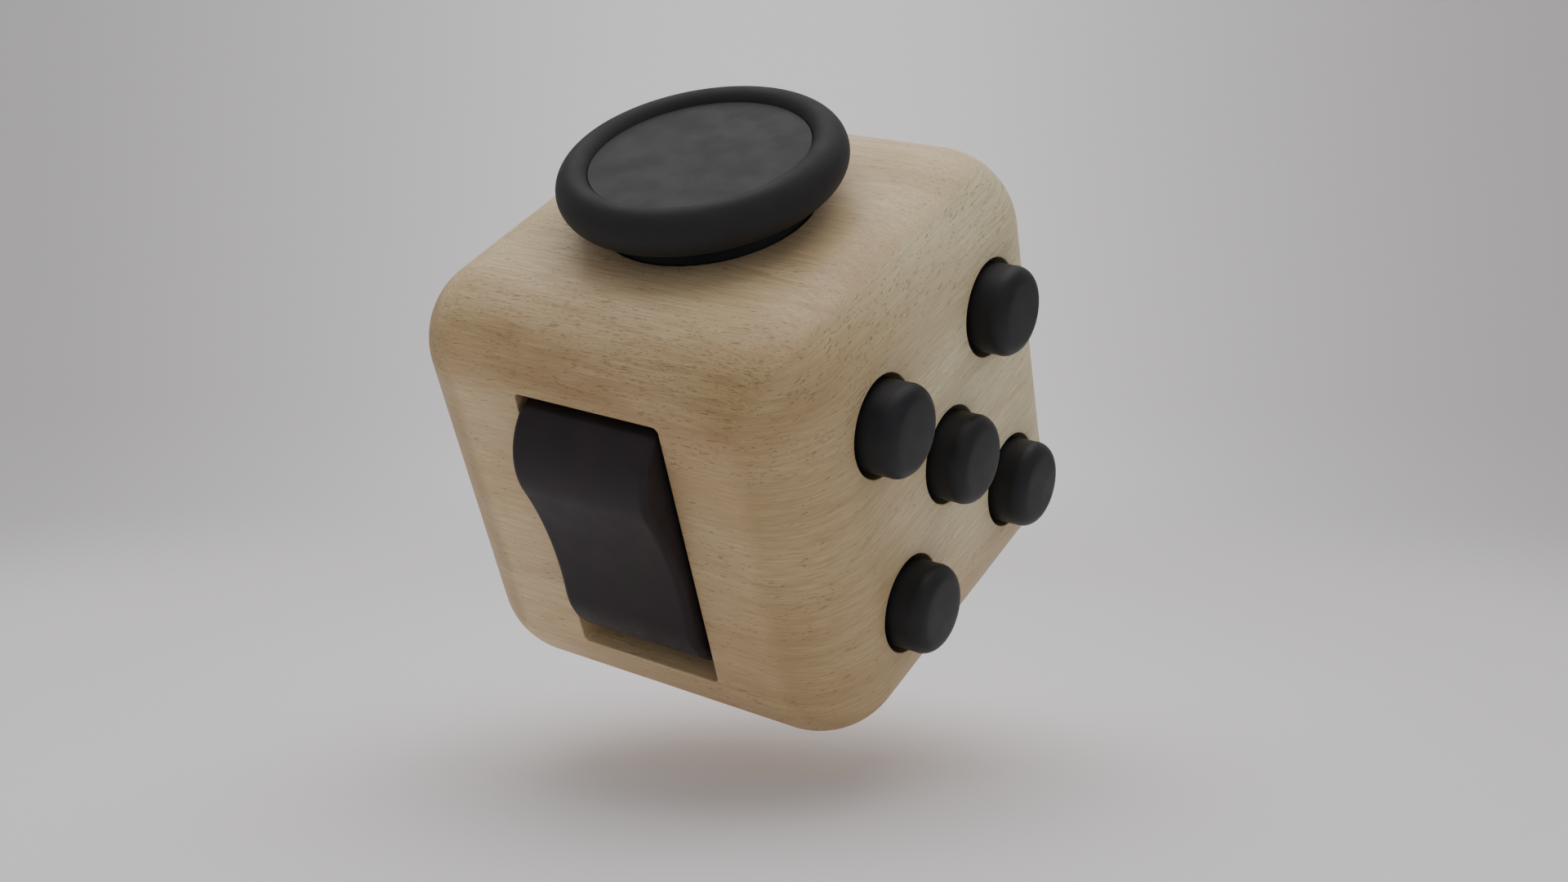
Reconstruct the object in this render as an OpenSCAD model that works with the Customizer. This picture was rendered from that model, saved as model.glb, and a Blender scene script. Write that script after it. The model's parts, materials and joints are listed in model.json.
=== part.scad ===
// Fidget cube: a hollow wooden cube with a different thing to fiddle with on each face.
// Units are millimetres. The origin is the centre of the bottom face, at the height it rests on.
// +Z points up along the joystick, -Y is the rocker switch's face and +X is the five buttons' face.
// +Y holds three ribbed wheels and a click ball, -X a spin dial, and -Z a worry dimple.

/* [Case] */
// Edge length of the wooden cube
case_size = 33; // [28:0.5:45]
// Radius of the cube's rounded edges and corners
edge_radius = 6; // [3:0.1:8]
// Wall thickness of the wooden case
wall = 2.6; // [2:0.1:4]
// Radius of the alignment dowels in the seam between the two case halves
dowel_radius = 0.6; // [0.4:0.05:0.8]

/* [Joystick] */
// Radius of the circle that the joystick's thick rim follows
rim_ring_radius = 8.2; // [6:0.05:10]
// Radius of the rim's round section
rim_tube_radius = 1.75; // [1:0.01:2.5]
// Radius of the rim's inner, upper rounding, which leads down to the pad
rim_inner_round = 1.1; // [0.5:0.05:1.5]
// Angle above the horizontal, in degrees, at which the inner rounding starts
rim_turn = 55; // [40:1:70]
// Height of the rim's centre above the top face
rim_height = 3.15; // [2.5:0.05:5]
// Radius of the thumb pad that lies inside the rim
pad_radius = 7.62; // [5:0.01:8]
// Height of the thumb pad's surface above the top face
pad_height = 4.17; // [3.5:0.01:6]
// Outer radius of the ball-shaped neck below the cap
neck_ball_radius = 7.75; // [6:0.01:10]
// Depth of the joystick's pivot below the top face
pivot_depth = 3; // [2:0.1:5]
// Gap between the neck and the round seat that is cut in the wood
neck_gap = 0.22; // [0.15:0.01:0.5]

/* [Buttons] */
// Distance of the outer buttons from the middle one, measured along each side
button_pitch = 7.38; // [6:0.01:9]
// Radius of the holes in the wooden face
button_hole_radius = 3.46; // [2.5:0.01:4.5]
// Radius of the button caps
button_radius = 3.12; // [2.2:0.01:4.2]
// How far a button stands proud of the face
button_proud = 2.55; // [1.5:0.05:4]
// Radius of the rounding on a button's rim
button_round = 1.1; // [0.3:0.05:2]
// Radius of the flange that keeps a button in the case
button_flange_radius = 4.1; // [3.5:0.05:4.6]

/* [Switch] */
// Width of the recess that the rocker sits in
recess_width = 11.72; // [8:0.01:16]
// Height of the recess that the rocker sits in
recess_height = 21.5; // [16:0.01:24]
// Width of the rocker
rocker_width = 11.1; // [7:0.05:15]
// Depth of the rocker's axle behind the face
rocker_depth = 2.5; // [2:0.05:4]
// Radius that the ends of the rocker sweep about the axle
rocker_end_radius = 10.35; // [8:0.05:11]
// Half of the angle that the rocker tips through
rocker_tilt = 6.5; // [4:0.1:8]
// Radius of the two rounded noses of the rocker
nose_radius = 5; // [3:0.1:7]
// Height of each nose's centre above or below the axle
nose_offset = 5.8; // [4:0.1:7]
// How far a nose would stand proud of the face with the rocker level
nose_proud = 1.7; // [1:0.05:2.5]
// How far the hollow between the noses stands proud of the face with the rocker level
hollow_proud = 1.15; // [0.5:0.05:1.6]
// Radius of the rocker's axle
rocker_axle_radius = 0.75; // [0.5:0.05:1]

/* [Wheels] */
// Radius of the three ribbed wheels
wheel_radius = 5; // [4:0.1:6]
// Width of one wheel
wheel_width = 2.7; // [2:0.1:3.4]
// Distance between the middles of neighbouring wheels
wheel_pitch = 4.4; // [3.8:0.1:5]
// Number of grooves round a wheel
wheel_grooves = 20; // [12:1:30]
// Height of the wheels' axle above the bottom face
wheel_axle_z = 21; // [19:0.1:23]
// Distance of the wheels' axle from the middle of the case
wheel_axle_y = 13.05; // [12.5:0.05:13.2]
// Radius of the wheels' axle
wheel_axle_radius = 0.65; // [0.5:0.05:0.8]

/* [Ball] */
// Radius of the click ball
ball_radius = 3.75; // [3:0.05:4.5]
// How far the ball stands proud of the face
ball_proud = 2; // [1:0.1:2.5]
// Height of the ball's centre above the bottom face
ball_z = 9.3; // [9:0.1:10]

/* [Dial] */
// Radius of the spin dial
dial_radius = 10; // [7:0.1:12]
// Thickness of the spin dial
dial_thickness = 3.3; // [2:0.1:5]
// Radius of the dial's shaft
dial_shaft_radius = 2; // [1.5:0.05:2.5]

/* [Dimple] */
// Radius of the ball shape that the worry dimple is cut with
dimple_ball_radius = 20; // [12:0.5:40]
// Depth of the worry dimple
dimple_depth = 1.7; // [0.5:0.1:2]

/* [Screws] */
// Radius of the small screws' shanks
screw_radius = 0.6; // [0.4:0.05:0.8]
// Radius of the small screws' heads
screw_head_radius = 1.2; // [0.9:0.05:1.5]
// Height of the small screws' heads
screw_head_height = 0.8; // [0.5:0.05:1.2]

/* [Hidden] */
$fn = 96;

// Small distance that makes a cut run clear through a face
eps = 0.1;
// Half the cube's edge, which is also the height of its middle
half = case_size / 2;
// Distance from the middle to where the rounded edges begin, and to the seam
seam = half - edge_radius;
// Distance from the middle to the inside of a wall
inner = half - wall;
// Depth of the part of the hollow next to each wall, which is narrower and leaves the edges thick
wall_pocket = 1.7;
inner_edge = inner - wall_pocket;
// Height of the inside of the top wall
ceiling = case_size - wall;

// Joystick
pivot_z = case_size - pivot_depth;
rim_z = case_size + rim_height;
pad_z = case_size + pad_height;
web_z = rim_z - rim_tube_radius + 0.2;
web_top = rim_z + 0.05;
base_top = pivot_z - 1.6;
base_bottom = base_top - 1.2;
base_corner = 7.4;
spring_floor = base_bottom - 2.8;
hub_bottom = pivot_z - 1.8;

// Buttons: the middle one, then top rear, top front, bottom rear and bottom front
button_spots = [
    [0, 0], [button_pitch, button_pitch], [-button_pitch, button_pitch],
    [button_pitch, -button_pitch], [-button_pitch, -button_pitch]
];
button_back = inner - 0.9;
plate_front = inner - 2.8;
plate_back = plate_front - 1.2;
plate_post = 10.1;

// Switch
rocker_y = -half + rocker_depth;
nose_out = rocker_depth + nose_proud - nose_radius;
hollow_out = rocker_depth + hollow_proud;
// Radius of the hollow between the noses, chosen so that it runs smoothly into both
hollow_radius = (pow(nose_offset, 2) + pow(hollow_out - nose_out, 2) - pow(nose_radius, 2))
    / (2 * (nose_radius - hollow_out + nose_out));
// Height where a nose and the hollow meet
nose_join = nose_offset * hollow_radius / (nose_radius + hollow_radius);
rocker_back = -2.2;
bracket_floor = -10;

// Wheels and ball
wheel_seat_radius = wheel_radius + 0.22;
ball_y = half + ball_proud - ball_radius;

// Helpers

// Points along an arc about [cx, cy], from angle a0 to angle a1
function arc(cx, cy, r, a0, a1, n) =
    [for (i = [0 : n]) let (a = a0 + (a1 - a0) * i / n) [cx + r * cos(a), cy + r * sin(a)]];

// Rectangle about the origin with rounded corners
module soft_rect(w, h, r) {
    polygon(concat(
        arc(w / 2 - r, h / 2 - r, r, 0, 90, 6),
        arc(-w / 2 + r, h / 2 - r, r, 90, 180, 6),
        arc(-w / 2 + r, -h / 2 + r, r, 180, 270, 6),
        arc(w / 2 - r, -h / 2 + r, r, 270, 360, 6)
    ));
}

// Half section of a disc with radius w and height h, whose top rim is rounded by r
module round_top_section(w, h, r) {
    square([w, h - r]);
    square([w - r, h]);
    translate([w - r, h - r]) intersection() {
        circle(r);
        square(r);
    }
}

// Box given by its lowest and highest corners
module span(lo, hi) {
    translate(lo) cube(hi - lo);
}

// Turns a shape that is built along +Z so that it points along another axis
module to_x() { rotate([0, 90, 0]) children(); }
module to_minus_x() { rotate([0, -90, 0]) children(); }
module to_y() { rotate([-90, 0, 0]) children(); }
module to_minus_y() { rotate([90, 0, 0]) children(); }

// Screw that points along +Z, with the underside of its head at z = 0
module screw(length) {
    difference() {
        union() {
            cylinder(r = screw_radius, h = length);
            translate([0, 0, -screw_head_height]) cylinder(r = screw_head_radius, h = screw_head_height);
        }
        translate([0, 0, -screw_head_height - eps]) cylinder(r = 0.6, h = 0.5 + eps, $fn = 6);
    }
}

// Hole for a screw, with a little room round the shank
module screw_hole(length) {
    cylinder(r = screw_radius + 0.02, h = length);
}

// Coil spring along +Z, from z = 0 to z = height
module coil(radius, wire, turns, height) {
    steps = ceil(turns * 18);
    sides = 7;
    rise = height - 2 * wire;
    points = [for (i = [0 : steps]) for (j = [0 : sides - 1])
        let (a = 360 * turns * i / steps, b = 360 * j / sides, r = radius + wire * cos(b))
        [r * cos(a), r * sin(a), wire + rise * i / steps + wire * sin(b)]];
    walls = [for (i = [0 : steps - 1]) for (j = [0 : sides - 1])
        [i * sides + j, (i + 1) * sides + j, (i + 1) * sides + (j + 1) % sides, i * sides + (j + 1) % sides]];
    caps = [[for (j = [0 : sides - 1]) j], [for (j = [sides - 1 : -1 : 0]) steps * sides + j]];
    polyhedron(points, concat(walls, caps), convexity = 6);
}

// Case

// Block between two edge lines: a quarter of a cylinder along Z, for the corner towards +X and +Y
module edge_quarter(length) {
    rotate_extrude(angle = 90) square([edge_radius, length]);
}

// Eighth of a ball, for the corner towards +X, +Y and +Z
module ball_eighth() {
    rotate_extrude(angle = 90) intersection() {
        circle(edge_radius);
        square(edge_radius);
    }
}

// The corner pieces and edge pieces are placed from the cube's middle
module corner_at(sx, sy, sz) {
    translate([sx * seam, sy * seam, sz * seam])
        mirror([sx < 0 ? 1 : 0, 0, 0]) mirror([0, sy < 0 ? 1 : 0, 0]) mirror([0, 0, sz < 0 ? 1 : 0])
            ball_eighth();
}

module edge_z_at(sx, sy) {
    translate([sx * seam, sy * seam, -seam])
        mirror([sx < 0 ? 1 : 0, 0, 0]) mirror([0, sy < 0 ? 1 : 0, 0])
            edge_quarter(2 * seam);
}

module edge_x_at(sy, sz) {
    translate([-seam, sy * seam, sz * seam])
        mirror([0, sy < 0 ? 1 : 0, 0]) mirror([0, 0, sz < 0 ? 1 : 0])
            rotate([90, 0, 90]) edge_quarter(2 * seam);
}

module edge_y_at(sx, sz) {
    translate([sx * seam, -seam, sz * seam])
        mirror([sx < 0 ? 1 : 0, 0, 0]) mirror([0, 0, sz < 0 ? 1 : 0])
            rotate([-90, -90, 0]) edge_quarter(2 * seam);
}

// Outside of the rear half: the left, back and bottom faces, up to the seams
module rear_block() {
    span([-seam, -seam, -seam], [seam, seam, seam]);
    span([-half, -seam, -seam], [-seam, seam, seam]);
    span([-seam, seam, -seam], [seam, half, seam]);
    span([-seam, -seam, -half], [seam, seam, -seam]);
    edge_z_at(-1, 1);
    edge_x_at(1, -1);
    edge_y_at(-1, -1);
    corner_at(-1, 1, -1);
}

// Outside of the main half: the top, front and right faces, as a shell round the rear block
module main_block() {
    span([-seam, -seam, seam], [seam, seam, half]);
    span([-seam, -half, -seam], [seam, -seam, seam]);
    span([seam, -seam, -seam], [half, seam, seam]);
    edge_x_at(1, 1);
    edge_x_at(-1, 1);
    edge_y_at(1, 1);
    edge_y_at(-1, 1);
    edge_z_at(1, 1);
    edge_z_at(1, -1);
    edge_z_at(-1, -1);
    edge_x_at(-1, -1);
    edge_y_at(1, -1);
    corner_at(1, 1, 1);
    corner_at(-1, 1, 1);
    corner_at(1, -1, 1);
    corner_at(-1, -1, 1);
    corner_at(1, 1, -1);
    corner_at(1, -1, -1);
    corner_at(-1, -1, -1);
}

// Hollow inside the case, narrower near the walls so that the edges keep their strength
module case_hollow() {
    span([-inner, -inner_edge, -inner_edge], [inner, inner_edge, inner_edge]);
    span([-inner_edge, -inner, -inner_edge], [inner_edge, inner, inner_edge]);
    span([-inner_edge, -inner_edge, -inner], [inner_edge, inner_edge, inner]);
}

// Where the dowels cross the seam under the top half, in the left and back walls
dowel_spots = [[-half + 1.5, -5], [-half + 1.5, 8.5], [-9.5, half - 1.5], [8.6, half - 1.5]];
dowel_bottom = half + seam - 2.6;
dowel_length = 5;

module dowels(r) {
    for (p = dowel_spots) translate([p[0], p[1], dowel_bottom]) cylinder(r = r, h = dowel_length);
}

module shell_main() {
    color([0.72, 0.60, 0.44]) difference() {
        translate([0, 0, half]) difference() {
            main_block();
            case_hollow();
        }
        translate([0, 0, pivot_z]) sphere(neck_ball_radius + neck_gap);
        for (p = button_spots) translate([inner - eps, p[0], half + p[1]])
            to_x() cylinder(r = button_hole_radius, h = wall + 2 * eps);
        translate([0, -inner + eps, half]) to_minus_y()
            linear_extrude(wall + 2 * eps) soft_rect(recess_width, recess_height, 0.4);
        joystick_screw_places() screw_hole(case_size - base_bottom - 0.7);
        plate_screw_places() screw_hole(half - plate_back - 0.8);
        switch_screw_places() screw_hole(half - inner + 1 - 0.8);
        dowels(dowel_radius + 0.02);
    }
}

module shell_rear() {
    color([0.70, 0.58, 0.42]) difference() {
        union() {
            translate([0, 0, half]) difference() {
                rear_block();
                case_hollow();
            }
            translate([0, 0, wall - 0.5]) cylinder(r = 6.5, h = 1.2);
        }
        translate([0, 0, dimple_depth - dimple_ball_radius]) sphere(dimple_ball_radius);
        translate([-half - eps, 0, half]) to_x() cylinder(r = dial_shaft_radius + 1, h = wall + 2 * eps);
        for (i = [-1 : 1]) translate([i * wheel_pitch - wheel_width / 2 - 0.2, wheel_axle_y, wheel_axle_z])
            to_x() cylinder(r = wheel_seat_radius, h = wheel_width + 0.4);
        translate([0, ball_y, ball_z]) to_y() sphere(ball_radius + 0.2);
        wheel_screw_places() screw_hole(half - inner + 1 - 0.8);
        ball_screw_places() screw_hole(half - inner + 1 - 0.8);
        dowels(dowel_radius + 0.02);
    }
}

module shell_dowels() {
    color([0.80, 0.70, 0.52]) dowels(dowel_radius);
}

// Joystick

// Where the four screws of the base go, pointing up into the top wall
module joystick_screw_places() {
    for (x = [-1, 1]) for (y = [-1, 1])
        translate([x * base_corner, y * base_corner, base_bottom]) children();
}

module joystick_rim() {
    color([0.06, 0.06, 0.065]) difference() {
        rotate_extrude() difference() {
            union() {
                intersection() {
                    translate([rim_ring_radius, rim_z]) circle(rim_tube_radius);
                    translate([rim_ring_radius, rim_z]) rotate(rim_turn) translate([-5, -5]) square([10, 5]);
                }
                translate([rim_ring_radius, rim_z]) rotate(rim_turn)
                    translate([rim_tube_radius - rim_inner_round + 0.01, 0]) circle(rim_inner_round);
                translate([0, web_z]) square([rim_ring_radius, web_top - web_z]);
            }
            translate([-1, web_top]) square([pad_radius + 1, 4]);
        }
        translate([0, 0, web_z - eps]) cylinder(r = screw_radius + 0.02, h = 4);
        translate([0, 0, web_top - screw_head_height]) cylinder(r = screw_head_radius + 0.05, h = 4);
    }
}

module joystick_pad() {
    color([0.16, 0.16, 0.165]) translate([0, 0, web_top])
        rotate_extrude() round_top_section(pad_radius - 0.04, pad_z - web_top, 0.2);
}

// Ball-shaped neck with a flat top, hollow inside, with a hub down its middle
module joystick_dome() {
    color([0.03, 0.03, 0.032]) difference() {
        translate([0, 0, pivot_z]) rotate_extrude() {
            difference() {
                intersection() {
                    circle(neck_ball_radius);
                    square([neck_ball_radius + 1, web_z - pivot_z]);
                }
                intersection() {
                    circle(neck_ball_radius - 1.05);
                    translate([-1, -1]) square([neck_ball_radius + 1, web_z - pivot_z - 0.1]);
                }
            }
            translate([0, hub_bottom - pivot_z]) square([2, web_z - hub_bottom]);
            translate([0, hub_bottom - pivot_z - 0.8]) square([1.2, 0.8]);
        }
        translate([0, -3, pivot_z]) to_y() cylinder(r = 0.55, h = 6);
        translate([0, 0, web_z - 1.9]) cylinder(r = screw_radius + 0.02, h = 3);
    }
}

module joystick_cap_screw() {
    color([0.55, 0.56, 0.58]) translate([0, 0, web_top - screw_head_height]) mirror([0, 0, 1])
        screw(web_top - screw_head_height - web_z + 1.8);
}

module gimbal_ring() {
    color([0.62, 0.63, 0.65]) difference() {
        union() {
            translate([0, 0, pivot_z - 1.1]) cylinder(r = 4.4, h = 2.2);
            translate([-6.1, 0, pivot_z]) to_x() cylinder(r = 0.6, h = 12.2);
        }
        translate([0, 0, pivot_z - 1.1 - eps]) cylinder(r = 2.75, h = 2.2 + 2 * eps);
        translate([0, -5, pivot_z]) to_y() cylinder(r = 0.52, h = 10);
    }
}

module gimbal_pin() {
    color([0.75, 0.76, 0.78]) translate([0, -4.3, pivot_z]) to_y() cylinder(r = 0.5, h = 8.6);
}

// Plate under the neck, with posts for the gimbal ring and a cup for the centring spring
module joystick_base() {
    color([0.10, 0.10, 0.11]) difference() {
        union() {
            translate([0, 0, base_bottom]) linear_extrude(base_top - base_bottom) soft_rect(18, 18, 1.6);
            for (x = [-1, 1]) for (y = [-1, 1])
                translate([x * base_corner, y * base_corner, base_top])
                    cylinder(r = 1.5, h = ceiling - base_top);
            for (x = [-5.45, 5.45])
                span([x - 0.65, -1.3, base_top - 0.5], [x + 0.65, 1.3, pivot_z + 1.2]);
            translate([0, 0, spring_floor - 0.8]) cylinder(r = 3.5, h = base_bottom - spring_floor + 1.2);
        }
        translate([0, 0, spring_floor]) cylinder(r = 2.7, h = 6);
        translate([-7, 0, pivot_z]) to_x() cylinder(r = 0.65, h = 14);
        joystick_screw_places() translate([0, 0, -eps]) screw_hole(6);
    }
}

module joystick_base_screws() {
    color([0.55, 0.56, 0.58]) joystick_screw_places() screw(case_size - base_bottom - 0.8);
}

module joystick_spring() {
    color([0.70, 0.71, 0.72]) translate([0, 0, spring_floor + 0.03])
        coil(1.75, 0.22, 5, hub_bottom - spring_floor - 0.06);
}

// Buttons

// Where the four screws of the button plate go, pointing out into the right wall
module plate_screw_places() {
    for (p = [[plate_post, 0], [-plate_post, 0], [0, plate_post], [0, -plate_post]])
        translate([plate_back, p[0], half + p[1]]) to_x() children();
}

// One button: a round cap with a flange behind the wall and a stem that slides in the plate
module button(i) {
    p = button_spots[i];
    color([0.035, 0.04, 0.042]) translate([button_back, p[0], half + p[1]]) to_x() {
        rotate_extrude() {
            round_top_section(button_radius, half + button_proud - button_back, button_round);
            square([button_flange_radius, inner - 0.05 - button_back]);
        }
        translate([0, 0, -3.4]) cylinder(r = 0.9, h = 4);
    }
}

module button_1() { button(0); }
module button_2() { button(1); }
module button_3() { button(2); }
module button_4() { button(3); }
module button_5() { button(4); }

// Rubber dome that pushes a button back out, with a hole for the button's stem
module button_dome(i) {
    p = button_spots[i];
    height = button_back - plate_front - 0.05;
    color([0.80, 0.80, 0.78]) translate([plate_front, p[0], half + p[1]]) to_x()
        rotate_extrude() polygon([
            [2.6, 0], [3.6, 0], [3.6, 0.4], [3.2, 0.4], [2.1, height], [1.2, height], [1.2, height - 0.5],
            [1.7, height - 0.5]
        ]);
}

module button_dome_1() { button_dome(0); }
module button_dome_2() { button_dome(1); }
module button_dome_3() { button_dome(2); }
module button_dome_4() { button_dome(3); }
module button_dome_5() { button_dome(4); }

// Plate behind the buttons, held off the wall by four posts
module button_plate() {
    color([0.12, 0.16, 0.13]) difference() {
        union() {
            translate([plate_back, 0, half]) rotate([90, 0, 90])
                linear_extrude(plate_front - plate_back) soft_rect(23, 23, 2);
            plate_screw_places() cylinder(r = 1.5, h = inner - plate_back);
        }
        plate_screw_places() translate([0, 0, -eps]) screw_hole(6);
        for (p = button_spots) translate([plate_back - eps, p[0], half + p[1]])
            to_x() cylinder(r = 0.96, h = 2);
    }
}

module button_plate_screws() {
    color([0.55, 0.56, 0.58]) plate_screw_places() screw(half - plate_back - 0.9);
}

// Switch

// Where the four screws of the switch bracket go, pointing out into the front wall
module switch_screw_places() {
    for (x = [-8.2, 8.2]) for (z = [-8.5, 8.5])
        translate([x, -inner + 1, half + z]) to_minus_y() children();
}

// Side view of the rocker with the axle at the origin: +X points out of the face and +Y up
module rocker_section() {
    intersection() {
        circle(rocker_end_radius);
        translate([rocker_back, -12]) square([12, 24]);
        union() {
            difference() {
                translate([-4, -nose_join]) square([nose_radius + 8, 2 * nose_join]);
                translate([hollow_out + hollow_radius, 0]) circle(hollow_radius, $fn = 360);
            }
            for (s = [0, 1]) mirror([0, s]) {
                translate([nose_out, nose_offset]) circle(nose_radius);
                translate([-4, nose_offset - 0.5]) square([4 + nose_out, 6]);
            }
        }
    }
}

module rocker_place() {
    translate([0, rocker_y, half]) rotate([rocker_tilt, 0, 0]) children();
}

// Hollow rocker with a tongue behind its axle that snaps over the leaf spring
module switch_rocker() {
    color([0.055, 0.045, 0.05]) rocker_place() difference() {
        union() {
            difference() {
                translate([rocker_width / 2, 0, 0]) rotate([90, 0, -90])
                    linear_extrude(rocker_width) rocker_section();
                span([-4.25, -1.7, -8.2], [4.25, 8, 8.2]);
            }
            span([-1, -1.9, -0.6], [1, 4.4, 0.6]);
            translate([-1, 4.4, 0]) to_x() cylinder(r = 0.6, h = 2);
            translate([-1, 0, 0]) to_x() cylinder(r = 1.5, h = 2);
        }
        translate([-7, 0, 0]) to_x() cylinder(r = rocker_axle_radius + 0.02, h = 14);
    }
}

module switch_axle() {
    color([0.75, 0.76, 0.78]) translate([-rocker_width / 2 + 0.1, rocker_y, half])
        to_x() cylinder(r = rocker_axle_radius, h = rocker_width - 0.2);
}

// Frame behind the recess, with a pocket for the rocker, ears for its axle and a box for the leaf spring
module switch_bracket() {
    color([0.10, 0.10, 0.11]) difference() {
        translate([0, 0, half]) union() {
            span([-9.6, -inner, -12], [9.6, -inner + 1, 12]);
            span([-6.95, -inner, -11.8], [6.95, bracket_floor + 1, 11.8]);
            span([-3, bracket_floor, -7.4], [3, -6.6, 7.4]);
        }
        translate([0, 0, half]) difference() {
            span([-5.95, -inner - eps, -10.8], [5.95, bracket_floor, 10.8]);
            for (x = [-3.2, 3.2]) {
                span([x - 0.6, rocker_y, -1.3], [x + 0.6, bracket_floor + eps, 1.3]);
                translate([x - 0.6, rocker_y, 0]) to_x() cylinder(r = 1.3, h = 1.2);
            }
        }
        translate([0, 0, half]) span([-2.2, bracket_floor - eps, -6.6], [2.2, -7.4, 6.6]);
        translate([-7, rocker_y, half]) to_x() cylinder(r = rocker_axle_radius + 0.05, h = 14);
        switch_screw_places() translate([0, 0, -eps]) screw_hole(3);
    }
}

// Steel strip with a bump in its middle that holds the rocker tipped one way or the other
module switch_leaf_spring() {
    bump = rocker_y + 5.35;
    color([0.75, 0.76, 0.78]) translate([-1.8, 0, half]) rotate([90, 0, 90]) linear_extrude(3.6) polygon(concat(
        [[-7.45, -6.4], [-7.45, -5], [bump + 0.45, -0.45], [bump + 0.45, 0.45], [-7.45, 5], [-7.45, 6.4]],
        [[-7.7, 6.4], [-7.7, 4.9], [bump + 0.15, 0.6]],
        arc(bump, 0, 0.45, 105, 255, 8),
        [[bump + 0.15, -0.6], [-7.7, -4.9], [-7.7, -6.4]]
    ));
}

module switch_bracket_screws() {
    color([0.55, 0.56, 0.58]) switch_screw_places() screw(half - inner + 1 - 0.9);
}

// Wheels

// Where the four screws of the wheel bracket go, pointing out into the back wall
module wheel_screw_places() {
    for (x = [-8.9, 8.9]) for (z = [-3.6, 1])
        translate([x, inner - 1, wheel_axle_z + z]) to_y() children();
}

module wheel(i) {
    color([0.50, 0.51, 0.53]) translate([(i - 1) * wheel_pitch - wheel_width / 2, wheel_axle_y, wheel_axle_z])
        to_x() linear_extrude(wheel_width) difference() {
            circle(wheel_radius);
            circle(wheel_axle_radius + 0.06);
            for (k = [0 : wheel_grooves - 1]) rotate(360 * (k + 0.5) / wheel_grooves)
                translate([wheel_radius + 0.05, 0]) circle(0.42, $fn = 24);
        }
}

module wheel_1() { wheel(0); }
module wheel_2() { wheel(1); }
module wheel_3() { wheel(2); }

module wheel_axle() {
    color([0.75, 0.76, 0.78]) translate([-7.2, wheel_axle_y, wheel_axle_z])
        to_x() cylinder(r = wheel_axle_radius, h = 14.4);
}

// Comb-shaped holder: a back plate with four ears for the axle and two flanges for the screws
module wheel_bracket() {
    rib = wheel_pitch - wheel_width - 0.8;
    color([0.10, 0.10, 0.11]) difference() {
        translate([0, 0, wheel_axle_z]) union() {
            span([-7.3, 6.4, -5], [7.3, 7.5, 4.8]);
            for (x = [-1, 1]) {
                span([x * 6.8 - 0.5, 6.9, -5], [x * 6.8 + 0.5, inner - 0.02, 2.4]);
                span([x * 8.65 - 1.75, inner - 1, -5], [x * 8.65 + 1.75, inner, 2.4]);
                span([x * wheel_pitch / 2 - rib / 2, 7, -1.4], [x * wheel_pitch / 2 + rib / 2, inner - 0.05, 1.4]);
            }
        }
        translate([-8, wheel_axle_y, wheel_axle_z]) to_x() cylinder(r = wheel_axle_radius + 0.02, h = 16);
        wheel_screw_places() translate([0, 0, -eps]) screw_hole(3);
    }
}

module wheel_bracket_screws() {
    color([0.55, 0.56, 0.58]) wheel_screw_places() screw(half - inner + 1 - 0.9);
}

// Ball

// Where the two screws of the ball housing go, pointing out into the back wall
module ball_screw_places() {
    for (x = [-7.2, 7.2]) translate([x, inner - 1, ball_z]) to_y() children();
}

module click_ball() {
    color([0.78, 0.79, 0.80]) translate([0, ball_y, ball_z]) sphere(ball_radius);
}

// Cup that the ball turns in, which slides in the housing when the ball is pressed
module ball_cup() {
    color([0.85, 0.84, 0.80]) difference() {
        union() {
            translate([0, 9, ball_z]) to_y() cylinder(r = 4.3, h = 4.4);
            translate([0, 8.2, ball_z]) to_y() cylinder(r = 1.9, h = 1);
        }
        translate([0, ball_y, ball_z]) sphere(ball_radius + 0.07);
    }
}

module ball_spring() {
    color([0.70, 0.71, 0.72]) translate([0, 5.83, ball_z]) to_y() coil(2.6, 0.28, 4, 3.14);
}

module ball_housing() {
    color([0.10, 0.10, 0.11]) difference() {
        union() {
            translate([0, 5, ball_z]) to_y() cylinder(r = 5.35, h = inner_edge - 5.2);
            translate([0, inner_edge - 1, ball_z]) to_y() cylinder(r = 4.95, h = wall_pocket + 1);
            span([-8.7, inner - 1, ball_z - 1.8], [8.7, inner, ball_z + 1.8]);
        }
        translate([0, 5.8, ball_z]) to_y() cylinder(r = 4.36, h = 10);
        ball_screw_places() translate([0, 0, -eps]) screw_hole(3);
    }
}

module ball_housing_screws() {
    color([0.55, 0.56, 0.58]) ball_screw_places() screw(half - inner + 1 - 0.9);
}

// Dial

// Flat disc with rounded edge and a hollow near its rim for a fingertip
module spin_dial() {
    color([0.06, 0.06, 0.065]) difference() {
        translate([-half - 0.2, 0, half]) to_minus_x()
            rotate_extrude() round_top_section(dial_radius, dial_thickness, 1);
        translate([-half - 0.2 - dial_thickness - 3.6, 0, half + dial_radius * 0.5]) sphere(5);
        translate([-half - 1.4, 0, half]) to_x() cylinder(r = dial_shaft_radius + 0.02, h = 2);
    }
}

module dial_shaft() {
    color([0.75, 0.76, 0.78]) difference() {
        translate([-half - 1.4, 0, half]) to_x() cylinder(r = dial_shaft_radius, h = wall + 2.3);
        translate([-half, 0, half]) to_x() cylinder(r = 0.82, h = 6);
    }
}

module dial_bush() {
    color([0.80, 0.68, 0.38]) translate([-half, 0, half]) to_x() difference() {
        cylinder(r = dial_shaft_radius + 0.98, h = wall);
        translate([0, 0, -eps]) cylinder(r = dial_shaft_radius + 0.06, h = wall + 2 * eps);
    }
}

module dial_washer() {
    color([0.70, 0.71, 0.72]) translate([-inner + 0.15, 0, half]) to_x() difference() {
        cylinder(r = 4, h = 0.75);
        translate([0, 0, -eps]) cylinder(r = dial_shaft_radius + 0.02, h = 2);
    }
}

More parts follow.
